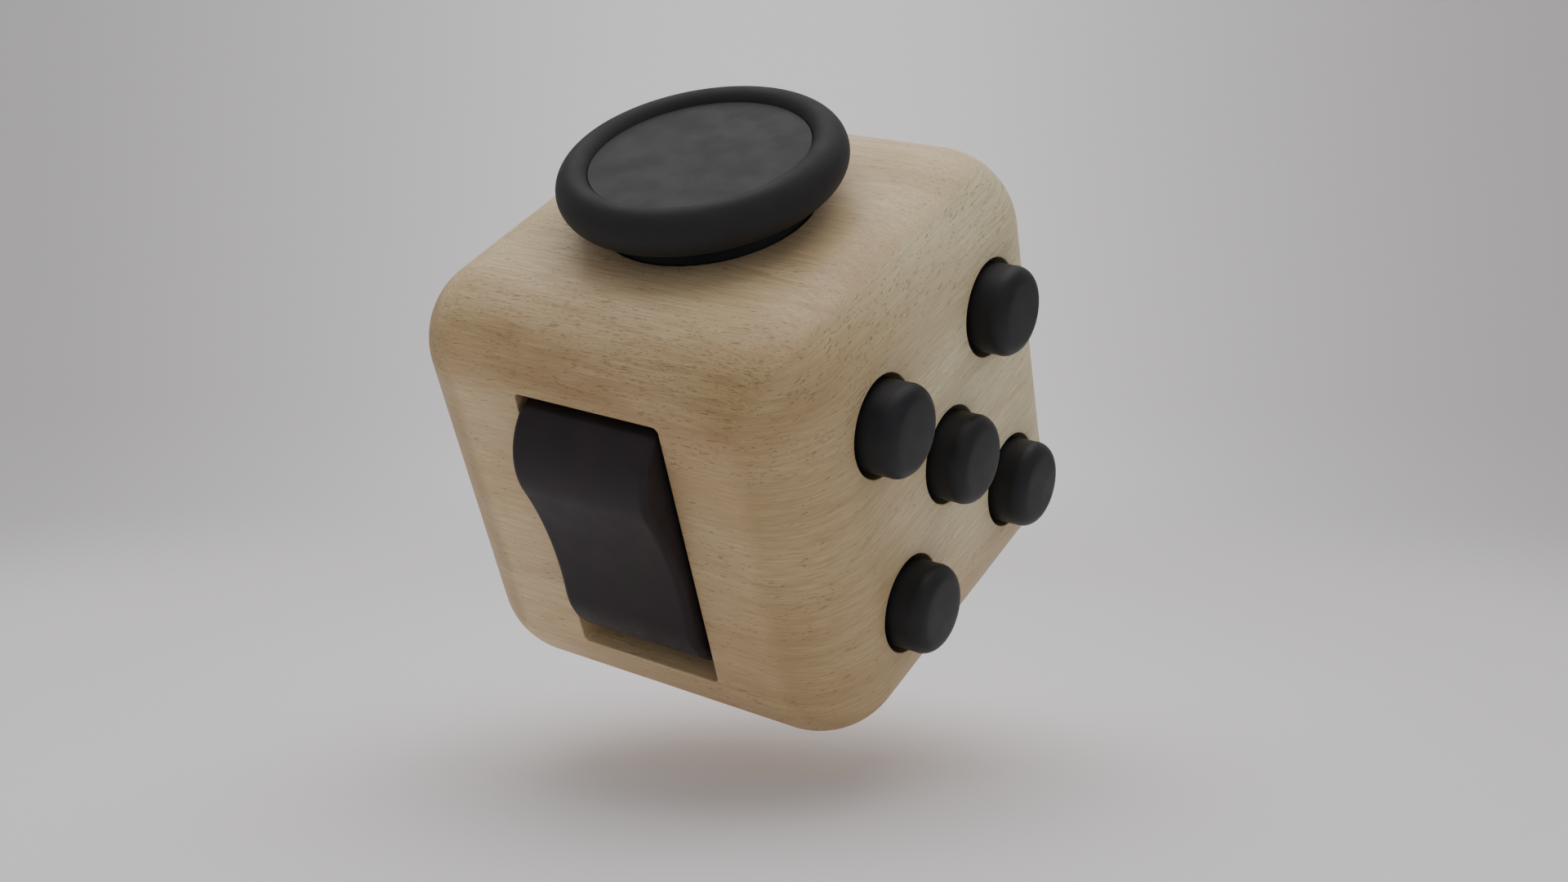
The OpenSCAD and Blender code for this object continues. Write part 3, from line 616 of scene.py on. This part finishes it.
for r0, r1 in zip(rows, rows[1:]):
    for p, q in zip(outline, outline[1:]):
        rocker_shape.face([row_point(r0, p), row_point(r0, q), row_point(r1, q), row_point(r1, p)])
for row, s in ((rows[0], -1), (rows[-1], 1)):
    rim = [row_point(row, p)[0] for p in outline]
    rocker_shape.face([(p, rocker_dir(s, 0, 0)) for p in rim])
HOLLOW_SIDE, HOLLOW_END, HOLLOW_ROOF = 4.25, 8.2, 1.7  # the hollow in the rocker's back
cavity = [(sx * HOLLOW_SIDE, su * HOLLOW_END) for sx, su in ((-1, -1), (1, -1), (1, 1), (-1, 1))]
floor_corners = [rocker_at(x, BACK, u) for x, u in cavity]
roof_corners = [rocker_at(x, HOLLOW_ROOF, u) for x, u in cavity]
back_normal = rocker_dir(0, -1, 0)
rim_low_side = [(r[0], outline[0][1] - outline[0][3] * r[1]) for r in rows]
rim_high_side = [(r[0], outline[-1][1] - outline[-1][3] * r[1]) for r in reversed(rows)]
for triangle in fill([rim_low_side + rim_high_side], [cavity]):
    rocker_shape.face([(rocker_at(x, BACK, u), back_normal) for x, u in triangle])
for k in range(4):
    m = (k + 1) % 4
    mid = (Vector(cavity[k]) + Vector(cavity[m])) / 2
    rocker_shape.face([(p, rocker_dir(-mid.x, 0, -mid.y)) for p in
                       (floor_corners[k], floor_corners[m], roof_corners[m], roof_corners[k])])
rocker_shape.face([(p, back_normal) for p in roof_corners])

# Tongue behind the rocker's axle, as a box from low to high (x, up, out), its rounded tip, and the hub
TONGUE_TIP = -4.4
low, high = (-1, -0.6, TONGUE_TIP), (1, 0.6, 1.8)
corners = [[x, u, o] for x in (low[0], high[0]) for u in (low[1], high[1]) for o in (low[2], high[2])]
for axis in range(3):
    for side in (low, high):
        quad = [c for c in corners if c[axis] == side[axis]]
        n = [0, 0, 0]
        n[axis] = 1 if side is high else -1
        rocker_shape.face([(rocker_at(quad[k][0], quad[k][2], quad[k][1]), rocker_dir(n[0], n[2], n[1]))
                           for k in (0, 1, 3, 2)])
for out, radius in ((TONGUE_TIP, 0.6), (0, 1.5)):
    lathe(rocker_shape, line(0, -1, radius, -1) + line(radius, -1, radius, 1) + line(radius, 1, 0, 1),
          axis_place(rocker_at(0, out, 0), X), 24)

# Dial: flat disc with a rounded rim, a hollow for a fingertip and a bore for its shaft
dial_low, dial_high = (mm(p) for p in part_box("spin_dial"))
DIAL = (dial_high.y - dial_low.y) / 2
thick = dial_high.x - dial_low.x
dial_place = axis_place((dial_high.x, 0, MIDDLE.z), -X)
FINGER, FINGER_RISE = 5.0, 3.6    # ball that cuts the hollow, and its rise off the face
DIAL_SOFT, BACK_SOFT = 1.0, 0.25  # rounding of the dial's front and back rims
BORE, BORE_DEPTH = 2.02, 1.2
finger = dial_place.inverted() @ Vector((dial_low.x - FINGER_RISE, 0, MIDDLE.z + DIAL * 0.5))
dial_shape = Shape()
dished_face(dial_shape, dial_place, DIAL - DIAL_SOFT, thick, finger.x, finger.y, FINGER, finger.z - thick)
lathe(dial_shape, [(DIAL - DIAL_SOFT + DIAL_SOFT * math.sin(t), thick - DIAL_SOFT + DIAL_SOFT * math.cos(t),
                    math.sin(t), math.cos(t)) for t in (math.radians(90 * k / 10) for k in range(11))]
      + line(DIAL, thick - DIAL_SOFT, DIAL, BACK_SOFT)
      + arc(DIAL - BACK_SOFT, BACK_SOFT, BACK_SOFT, 0, -90, 4) + line(DIAL - BACK_SOFT, 0, BORE, 0)
      + line(BORE, 0, BORE, BORE_DEPTH) + line(BORE, BORE_DEPTH, 0, BORE_DEPTH),
      dial_place @ Matrix.Rotation(TAU / 256, 4, "Z"), 128)

# Wheels: ribbed discs with chamfered sides
GROOVES, GROOVE = 20, 0.42  # how many, and the radius of each
PER_GROOVE = 14             # outline points for each groove
HUB, DISH, DISH_FOOT, DISH_DEPTH = 0.71, 2.6, 2.3, 0.3
WHEEL_CUT = 0.22  # chamfer at the sides


def wheel_outline(inset):
    """Outline points of the ribbed wheel, drawn in by inset."""
    found = []
    for k in range(GROOVES * PER_GROOVE):
        a = TAU * k / (GROOVES * PER_GROOVE)
        off = ((a * GROOVES / TAU) % 1 - 0.5) * TAU / GROOVES * (WHEEL_RADIUS + 0.05)
        dip = math.sqrt(max(GROOVE ** 2 - off ** 2, 0)) - 0.05 if abs(off) < GROOVE else 0
        r = WHEEL_RADIUS - max(dip, 0) - inset
        found.append((r * math.cos(a), r * math.sin(a)))
    return found


wheel_shapes = []
for spot in wheel_spots:
    shape = Shape()
    place = axis_place(spot, X)
    turn = place.to_3x3()
    inset_ring, full_ring = wheel_outline(WHEEL_CUT), wheel_outline(0)
    n = len(full_ring)
    bore, dish, dish_in = ([(r * math.cos(TAU * k / n), r * math.sin(TAU * k / n)) for k in range(n)]
                           for r in (HUB, DISH, DISH_FOOT))
    side_h = WHEEL_WIDTH / 2
    cut_h, dish_h = side_h - WHEEL_CUT, side_h - DISH_DEPTH

    def tangent_normal(ring, k):
        p, q = ring[k - 1], ring[(k + 1) % n]
        return Vector((q[1] - p[1], p[0] - q[0], 0)).normalized()

    bands = [(full_ring, -cut_h, full_ring, cut_h, "side")]
    for s in (-1, 1):
        bands += [(full_ring, s * cut_h, inset_ring, s * side_h, "cut"),
                  (inset_ring, s * side_h, dish, s * side_h, "flat"),
                  (dish, s * side_h, dish_in, s * dish_h, "cut"),
                  (dish_in, s * dish_h, bore, s * dish_h, "flat")]
    bands.append((bore, -dish_h, bore, dish_h, "bore"))
    for ring0, h0, ring1, h1, kind in bands:
        for k in range(n):
            m = (k + 1) % n
            corners = []
            for ring, h, j in ((ring0, h0, k), (ring0, h0, m), (ring1, h1, m), (ring1, h1, k)):
                out = tangent_normal(ring0, j)
                up = Vector((0, 0, 1 if h0 + h1 > 0 else -1))
                normal = {"side": out, "flat": up, "bore": -out,
                          "cut": (out if ring0 is full_ring else -out) + up}[kind]
                corners.append((place @ Vector((ring[j][0], ring[j][1], h)), turn @ normal))
            shape.face(corners)
    wheel_shapes.append(shape)


# ---------------------------------------------------------------- materials

def srgb(r, g, b):
    """Linear colour of an sRGB colour given from 0 to 255."""
    return tuple(c / 255 / 12.92 if c / 255 <= 0.04045 else ((c / 255 + 0.055) / 1.055) ** 2.4
                 for c in (r, g, b)) + (1.0,)


class Tree:
    """A short way to write a node tree."""

    def __init__(self, tree):
        self.tree = tree

    def node(self, kind, inputs=None, **settings):
        made = self.tree.nodes.new(kind)
        for key, value in settings.items():
            setattr(made, key, value)
        for key, value in (inputs or {}).items():
            self.put(made.inputs[key], value)
        return made

    def put(self, socket, value):
        if isinstance(value, bpy.types.NodeSocket):
            self.tree.links.new(value, socket)
        else:
            socket.default_value = value

    def math(self, operation, *values, clamp=False):
        made = self.node("ShaderNodeMath", operation=operation, use_clamp=clamp)
        for socket, value in zip(made.inputs, values):
            self.put(socket, value)
        return made.outputs[0]

    def times(self, a, b):
        return self.math("MULTIPLY", a, b)

    def blend(self, factor, a, b, mode="MIX"):
        made = self.node("ShaderNodeMix", data_type="RGBA", blend_type=mode)
        self.put(made.inputs[0], factor)
        self.put(made.inputs[6], a)
        self.put(made.inputs[7], b)
        return made.outputs[2]

    def ramp(self, value, low, high, to_low=0.0, to_high=1.0, smooth=True):
        made = self.node("ShaderNodeMapRange", {0: value, 1: low, 2: high, 3: to_low, 4: to_high},
                         interpolation_type="SMOOTHSTEP" if smooth else "LINEAR")
        return made.outputs[0]

    def vector(self, x, y, z):
        return self.node("ShaderNodeCombineXYZ", {0: x, 1: y, 2: z}).outputs[0]

    def noise(self, vector, scale, detail, roughness=0.5):
        return self.node("ShaderNodeTexNoise", {"Vector": vector, "Scale": scale, "Detail": detail,
                                                "Roughness": roughness}).outputs[0]

    def where(self):
        """The point on the object, in millimetres."""
        place = self.node("ShaderNodeTexCoord").outputs["Object"]
        return self.node("ShaderNodeVectorMath", {0: place, 3: 1 / MM}, operation="SCALE").outputs[0]


def material(name):
    made = bpy.data.materials.new(name)
    made.use_nodes = True
    made.node_tree.nodes.clear()
    t = Tree(made.node_tree)
    shader = t.node("ShaderNodeBsdfPrincipled")
    t.tree.links.new(shader.outputs[0], t.node("ShaderNodeOutputMaterial").inputs[0])
    return made, t, shader


def grain_group():
    """Wood: from a place along the grain and two across it at right angles, in mm, to colour and height."""
    group = bpy.data.node_groups.new("wood_grain", "ShaderNodeTree")
    for name, way, kind in (("Along", "INPUT", "Float"), ("Across", "INPUT", "Float"),
                            ("Deep", "INPUT", "Float"), ("Color", "OUTPUT", "Color"),
                            ("Height", "OUTPUT", "Float")):
        group.interface.new_socket(name, in_out=way, socket_type="NodeSocket" + kind)
    t = Tree(group)
    source, result = t.node("NodeGroupInput"), t.node("NodeGroupOutput")
    u, v, w = source.outputs[:3]

    def stretched(along, across, deep=0.0, seed=0.0, over=v):
        """The place in the wood, scaled along the grain and across it; with no depth, a slice at seed."""
        return t.vector(t.times(u, along), t.times(over, across), t.times(w, deep) if deep else seed)

    wander = t.math("SUBTRACT", t.noise(stretched(0.05, 0.10, seed=3.0), 1.0, 1.0), 0.5)
    ring = t.math("ADD", v, t.times(wander, 9.0))
    ring_lines = t.noise(stretched(0.012, 0.62, 0.16, over=ring), 1.0, 3.0, 0.55)
    broad = t.noise(stretched(0.035, 0.13, seed=11.0, over=ring), 1.0, 2.0)
    streak = t.noise(stretched(0.16, 2.3, 2.3), 1.0, 3.0, 0.6)
    fibre = t.noise(stretched(0.42, 9.2, 9.2), 1.0, 2.0, 0.6)

    colour = t.blend(t.ramp(broad, 0.35, 0.68), srgb(220, 197, 156), srgb(205, 178, 136))
    colour = t.blend(t.ramp(ring_lines, 0.50, 0.70, 0, 0.42), colour, srgb(184, 152, 114))
    colour = t.blend(t.ramp(streak, 0.34, 0.66, 0, 0.42), colour, srgb(188, 158, 120))
    colour = t.blend(t.ramp(fibre, 0.38, 0.66, 0, 0.46), colour, srgb(172, 140, 103))

    # Pores: short dark dashes, thick in some bands and round the top-front edge, and rare elsewhere
    near_edge = t.times(t.ramp(v, 26.0, 30.0), t.ramp(v, 41.0, 36.0))
    crowd = t.noise(stretched(0.05, 0.22, seed=31.0, over=ring), 1.0, 1.0)
    crowd = t.math("ADD", t.ramp(crowd, 0.45, 0.70, 0.05, 0.28), t.times(near_edge, 0.27))
    shake = t.math("SUBTRACT", t.noise(stretched(0.5, 1.7, seed=51.0), 1.0, 2.0), 0.5)
    pore_u = t.math("ADD", u, t.times(shake, 2.6))
    pore_v = t.math("ADD", v, t.times(shake, 0.7))
    pores = 0.0
    for seed, length, width in ((41.0, 0.78, 0.150), (43.0, 0.46, 0.115)):
        cells = t.node("ShaderNodeTexVoronoi", {"Vector": t.vector(
            t.math("DIVIDE", pore_u, length), t.math("DIVIDE", pore_v, width),
            t.math("ADD", t.math("DIVIDE", w, width * 4.0), seed)), "Scale": 1.0, "Randomness": 1.0},
            voronoi_dimensions="3D", feature="F1")
        near = t.ramp(cells.outputs["Distance"], 0.20, 0.36, 1.0, 0.0)
        chance = t.node("ShaderNodeSeparateColor", {0: cells.outputs["Color"]}).outputs[0]
        pick = t.math("LESS_THAN", chance, crowd)
        pores = t.math("MAXIMUM", pores, t.times(near, pick))
    colour = t.blend(t.times(pores, 0.48), colour, srgb(118, 84, 52))
    height = t.math("SUBTRACT", t.times(fibre, 0.25), t.times(pores, 0.8))
    t.put(result.inputs[0], colour)
    t.put(result.inputs[1], height)
    return group


grain = grain_group()


def wood(name, tone=1.0):
    """Pale wood whose grain runs along X on top, in front and behind, and along Y on the sides."""
    made, t, shader = material(name)
    x, y, z = t.node("ShaderNodeSeparateXYZ", {0: t.where()}).outputs
    x_out = t.math("DIVIDE", t.math("SUBTRACT", t.math("ABSOLUTE", x), FLAT), EDGE, clamp=True)
    z_out = t.math("DIVIDE", t.math("SUBTRACT", t.math("ABSOLUTE", t.math("SUBTRACT", z, MIDDLE.z)), FLAT),
                   EDGE, clamp=True)
    on_side = t.ramp(t.math("SUBTRACT", x_out, t.times(z_out, 0.55)), 0.0, 0.3)
    from_front = t.math("ADD", y, HALF)
    side = t.node("ShaderNodeGroup", node_tree=grain)
    t.put(side.inputs[0], t.math("ADD", t.math("SUBTRACT", x, HALF), t.times(t.math("SIGN", x), from_front)))
    t.put(side.inputs[1], z)
    t.put(side.inputs[2], z)
    flat = t.node("ShaderNodeGroup", node_tree=grain)
    t.put(flat.inputs[0], t.math("SUBTRACT", x, HALF))
    rise = t.math("ADD", z, from_front)
    t.put(flat.inputs[1], rise)
    t.put(flat.inputs[2], t.math("SUBTRACT", z, from_front))

    # Browner under the top-front edge; painted light: the back of the top and the back and upper part of the
    # sides paler and cooler, and the left half lighter; painted shade: the front's right part and the rest of
    # the sides darker
    # a browner band round the top-front edge, patchy with noise
    browner_edge_band = t.times(t.ramp(rise, 25.0, 29.5), t.ramp(rise, 36.0, 32.0))
    browner_edge_band = t.times(browner_edge_band, t.ramp(t.noise(t.where(), 0.16, 2.0), 0.30, 0.62, 0.62, 1.0))
    # painted light: the back of the top is made paler and cooler
    painted_light_on_top = t.times(t.ramp(y, -7.0, 13.0), t.ramp(z, 25.0, 32.0))
    front = t.blend(browner_edge_band, flat.outputs[0], (0.73, 0.68, 0.58, 1), "MULTIPLY")
    # painted shade: the right part near the front is made darker
    painted_shade_right = t.times(t.ramp(x, 2.0, 17.0), t.ramp(y, -6.0, -14.0))
    front = t.blend(painted_shade_right, front, (0.93, 0.93, 0.86, 1), "MULTIPLY")
    # painted light: the left half of the top, front and back is made lighter
    front = t.blend(t.ramp(x, 0.0, -15.0), front, (1.17, 1.22, 1.22, 1), "MULTIPLY")
    front = t.blend(painted_light_on_top, front, (1.34, 1.42, 1.50, 1), "MULTIPLY")
    # painted light: the sides are paler and cooler towards their back and top; painted shade darkens the rest
    # of the sides
    deep = t.times(t.ramp(y, -14.0, 3.0), t.ramp(z, -1.0, 15.0))
    side_with_painted_light = t.blend(deep, side.outputs[0], (1.18, 1.38, 1.54, 1), "MULTIPLY")
    side_with_painted_light = t.blend(t.math("SUBTRACT", 1.0, deep), side_with_painted_light, (0.81, 0.80, 0.73, 1), "MULTIPLY")
    colour = t.blend(on_side, front, side_with_painted_light)
    height = t.node("ShaderNodeMix", {0: on_side, 2: flat.outputs[1], 3: side.outputs[1]},
                    data_type="FLOAT").outputs[0]
    if tone != 1.0:
        colour = t.blend(1.0, colour, (tone, tone * 0.98, tone * 0.95, 1.0), "MULTIPLY")
    t.put(shader.inputs["Base Color"], colour)
    t.put(shader.inputs["Roughness"], t.ramp(t.noise(t.where(), 0.35, 3.0), 0.3, 0.7, 0.46, 0.60))
    shader.inputs["Specular IOR Level"].default_value = 0.38
    bump = t.node("ShaderNodeBump", {"Strength": 0.35, "Distance": 0.00006, "Height": height})
    t.put(shader.inputs["Normal"], bump.outputs[0])
    return made


def moulded(name, colour, rough, grain_size=14.0, bump=0.12, worn=0.12, specular=0.4, metal=0.0,
            mottle=0.12):
    """Moulded plastic, rubber or bare metal: fine surface grain, faint mottling and a little wear."""
    made, t, shader = material(name)
    here = t.where()
    fine = t.noise(here, grain_size, 2.0, 0.6)
    cloud = t.noise(here, 0.45, 3.0, 0.55)
    dark = tuple(c * (1 - mottle) for c in colour[:3]) + (1.0,)
    light = tuple(min(c * (1 + mottle) + 0.002, 1.0) for c in colour[:3]) + (1.0,)
    shade = t.blend(t.ramp(cloud, 0.3, 0.7), dark, light)
    rubbed = t.ramp(t.noise(here, 1.7, 4.0, 0.65), 0.56, 0.78, 0.0, worn)
    shade = t.blend(rubbed, shade, tuple(min(c * 1.5 + 0.004, 1.0) for c in colour[:3]) + (1.0,))
    t.put(shader.inputs["Base Color"], shade)
    speckle = t.times(t.math("SUBTRACT", fine, 0.5), 0.08)
    t.put(shader.inputs["Roughness"], t.math("ADD", t.ramp(cloud, 0.3, 0.7, *rough), speckle))
    shader.inputs["Metallic"].default_value = metal
    shader.inputs["Specular IOR Level"].default_value = specular
    t.put(shader.inputs["Normal"], t.node("ShaderNodeBump", {"Strength": bump, "Distance": 0.00003,
                                                             "Height": fine}).outputs[0])
    return made


def drawn_metal(name, colour, rough, along=(0.4, 6.0, 6.0), bump=0.1):
    """Metal with fine lines along one direction."""
    made, t, shader = material(name)
    here = t.node("ShaderNodeVectorMath", {0: t.where(), 1: along}, operation="MULTIPLY").outputs[0]
    lines = t.noise(here, 2.2, 4.0, 0.6)
    t.put(shader.inputs["Base Color"], t.blend(t.ramp(lines, 0.3, 0.7),
                                               tuple(c * 0.86 for c in colour[:3]) + (1.0,), colour))
    t.put(shader.inputs["Roughness"], t.ramp(lines, 0.25, 0.75, rough - 0.07, rough + 0.08))
    shader.inputs["Metallic"].default_value = 1.0
    t.put(shader.inputs["Normal"], t.node("ShaderNodeBump", {"Strength": bump, "Distance": 0.00002,
                                                             "Height": lines}).outputs[0])
    return made


beech = wood("beech_wood")
dowel_wood = wood("dowel_wood", 1.05)
rim_black = moulded("rim_black", (0.0222, 0.0214, 0.0218, 1), rough=(0.56, 0.66),
                    specular=0.22, mottle=0.07, worn=0.06)
pad_grey = moulded("pad_grey", (0.0235, 0.0232, 0.0235, 1), rough=(0.54, 0.64), grain_size=9.0,
                   specular=0.3, mottle=0.04, worn=0.04)
button_black = moulded("button_black", (0.0100, 0.0104, 0.0124, 1), rough=(0.46, 0.56), specular=0.30)
rocker_black = moulded("rocker_black", (0.0190, 0.0130, 0.0148, 1), rough=(0.52, 0.62), specular=0.28)
dome_black = moulded("dome_black", (0.0060, 0.0056, 0.0056, 1), rough=(0.5, 0.6), specular=0.25)
inner_plastic = moulded("inner_plastic", (0.035, 0.035, 0.038, 1), rough=(0.5, 0.65), mottle=0.2)
cup_plastic = moulded("cup_plastic", (0.62, 0.60, 0.55, 1), rough=(0.3, 0.42), mottle=0.05)
silicone = moulded("silicone", (0.55, 0.55, 0.53, 1), rough=(0.45, 0.6), mottle=0.06)
steel = drawn_metal("steel", (0.52, 0.53, 0.55, 1), 0.30)
wheel_metal = moulded("wheel_metal", (0.42, 0.43, 0.45, 1), rough=(0.34, 0.44), grain_size=18.0,
                      bump=0.3, metal=1.0, mottle=0.08)
chrome = drawn_metal("ball_chrome", (0.66, 0.67, 0.69, 1), 0.15, (1.0, 1.0, 1.0), 0.02)
brass = drawn_metal("brass", (0.60, 0.44, 0.18, 1), 0.28)

main_shape.build("case_main", "case", ["shell_main"], "beech_wood", beech)
rear_shape.build("case_rear", "case", ["shell_rear"], "beech_wood", beech)
rim_shape.build("stick_rim", "joystick", ["joystick_rim"], "soft_black", rim_black)
pad_shape.build("stick_pad", "joystick", ["joystick_pad"], "soft_grey", pad_grey)
for i, shape in enumerate(button_shapes, 1):
    shape.build(f"push_button_{i}", f"button_{i}_body", [f"button_{i}"], "soft_black", button_black)
rocker_shape.build("rocker", "rocker", ["switch_rocker"], "black_plastic", rocker_black)
dial_shape.build("dial_disc", "dial", ["spin_dial"], "soft_black", rim_black)
for i, shape in enumerate(wheel_shapes, 1):
    shape.build(f"ribbed_wheel_{i}", f"wheel_{i}_body", [f"wheel_{i}"], "wheel_metal", wheel_metal)

BY_SLOT = {"beech_wood": beech, "dowel_wood": dowel_wood, "soft_black": rim_black, "soft_grey": pad_grey,
           "black_plastic": dome_black, "inner_plastic": inner_plastic, "cup_plastic": cup_plastic,
           "silicone": silicone, "steel": steel, "wheel_metal": wheel_metal, "ball_chrome": chrome,
           "brass": brass}
for part in frame["record"]["subparts"]:
    node = frame["nodes"][part["node"]]
    node.data.materials.clear()
    node.data.materials.append(BY_SLOT[part["material_slot"]])


# ---------------------------------------------------------------- camera

RIGHT, UP, FORWARD = (Vector(v) for v in ((0.83184, 0.53167, -0.15927), (-0.20039, 0.55532, 0.80713),
                                          (-0.51758, 0.63949, -0.56848)))
camera_data = bpy.data.cameras.new("camera")
camera_data.sensor_width = 36
camera_data.lens = 43.69
camera_data.clip_start = 0.005
camera_data.clip_end = 10
camera = bpy.data.objects.new("camera", camera_data)
camera.matrix_world = Matrix.Translation(Vector((0.073858, -0.088358, 0.092683))) \
    @ Matrix((RIGHT, UP, -FORWARD)).transposed().to_4x4()
link(camera)
bpy.context.scene.camera = camera

# ---------------------------------------------------------------- stage and light

# The photograph's floor is level in its room, and the cube hangs tilted over it
PITCH = math.radians(3.0)  # how far the camera looks down on that floor
floor_up = (UP * math.cos(PITCH) - FORWARD * math.sin(PITCH)).normalized()
ahead = (FORWARD - floor_up * FORWARD.dot(floor_up)).normalized()
aside = ahead.cross(floor_up)
foot = MIDDLE * MM - floor_up * 0.0262


def in_room(side, depth, height):
    """A point of the room: metres to the right of, beyond and above the spot under the cube."""
    return foot + aside * side + ahead * depth + floor_up * height


def stage_material():
    """Pale paper, seen from its front only, with painted shade making it a little greyer towards the sides of
    the room and a painted glow in its middle.
    """
    made, t, shader = material("backdrop")
    here = t.where()
    across = t.node("ShaderNodeVectorMath", {0: here, 1: aside}, operation="DOT_PRODUCT").outputs["Value"]
    up = t.node("ShaderNodeVectorMath", {0: here, 1: floor_up}, operation="DOT_PRODUCT").outputs["Value"]
    away = t.math("ABSOLUTE", t.math("SUBTRACT", across, aside.dot(foot) / MM + 3.0))
    high = t.math("SUBTRACT", up, floor_up.dot(foot) / MM)
    # painted shade: the walls are greyer towards the sides of the room
    grey = t.times(t.ramp(away, 8.0, 84.0, smooth=False), t.ramp(high, 1.5, 13.0))
    paper = t.blend(t.ramp(t.noise(here, 0.01, 2.0), 0.3, 0.7),
                    (0.915, 0.895, 0.905, 1), (0.93, 0.91, 0.92, 1))
    t.put(shader.inputs["Base Color"], t.blend(grey, paper, (0.62, 0.61, 0.615, 1)))
    # painted light: the walls glow, most in the middle of the room
    painted_glow = t.times(t.ramp(away, 22.0, 92.0, 1.0, 0.0, smooth=False), t.ramp(high, 1.0, 14.0))
    t.put(shader.inputs["Emission Color"], t.blend(painted_glow, (0, 0, 0, 1), (0.255, 0.252, 0.256, 1)))
    shader.inputs["Emission Strength"].default_value = 1.0
    shader.inputs["Roughness"].default_value = 0.9
    shader.inputs["Specular IOR Level"].default_value = 0.2
    clear = t.node("ShaderNodeBsdfTransparent")
    both = t.node("ShaderNodeMixShader", {0: t.node("ShaderNodeNewGeometry").outputs["Backfacing"],
                                          1: shader.outputs[0], 2: clear.outputs[0]})
    out = next(n for n in made.node_tree.nodes if n.type == "OUTPUT_MATERIAL")
    t.tree.links.new(both.outputs[0], out.inputs[0])
    return made


# A trough of pale paper, open in front and above: floor, side walls and back wall, with wide curves between
ROOM_HALF, ROOM_BACK, ROOM_FRONT, ROOM_TALL = 0.090, 0.125, -0.06, 0.12
CORNER, COVE = 0.085, 0.024
plan = [(-ROOM_HALF, ROOM_FRONT + (ROOM_BACK - CORNER - ROOM_FRONT) * k / 8, -1, 0) for k in range(9)]
plan += [(-ROOM_HALF + CORNER - CORNER * math.cos(t), ROOM_BACK - CORNER + CORNER * math.sin(t),
          -math.cos(t), math.sin(t)) for t in (math.radians(90 * k / 16) for k in range(1, 17))]
plan += [(-side, depth, -out, far) for side, depth, out, far in reversed(plan)]
cove = [(COVE * (1 - math.sin(t)), COVE * (1 - math.cos(t)))
        for t in (math.radians(90 * k / 16) for k in range(17))]
cove += [(0, COVE + (ROOM_TALL - COVE) * k / 6) for k in range(1, 7)]
points, faces = [], []
for inset, height in cove:
    points += [in_room(side - out * inset, depth - far * inset, height) for side, depth, out, far in plan]
per_row = len(plan)
for j in range(len(cove) - 1):
    for k in range(per_row - 1):
        faces.append([j * per_row + k, j * per_row + k + 1, (j + 1) * per_row + k + 1, (j + 1) * per_row + k])
faces.append(list(reversed(range(per_row))))
stage_mesh = bpy.data.meshes.new("backdrop")
stage_mesh.from_pydata(points, [], faces)
stage_mesh.polygons.foreach_set("use_smooth", [True] * len(faces))
stage_mesh.materials.append(stage_material())
stage = bpy.data.objects.new("backdrop", stage_mesh)
link(stage)


def area_light(name, at, target, size, power, colour):
    data = bpy.data.lights.new(name, "AREA")
    data.shape = "RECTANGLE"
    data.size, data.size_y = size
    data.energy = power
    data.color = colour
    light = bpy.data.objects.new(name, data)
    light.location = at
    light.rotation_euler = (target - at).to_track_quat("-Z", "Y").to_euler()
    link(light)


heart = MIDDLE * MM
area_light("overhead", in_room(0.02, 0.05, 0.50), heart, (0.60, 0.60), 1.75, (1.0, 0.99, 0.98))
area_light("cool_side", in_room(0.22, -0.26, 0.08), heart, (0.22, 0.22), 0.075, (0.80, 0.90, 1.0))

world = bpy.data.worlds.new("studio")
world.use_nodes = True
background = next(n for n in world.node_tree.nodes if n.type == "BACKGROUND")
background.inputs[0].default_value = (0.62, 0.61, 0.62, 1)
background.inputs[1].default_value = 0.70
bpy.context.scene.world = world
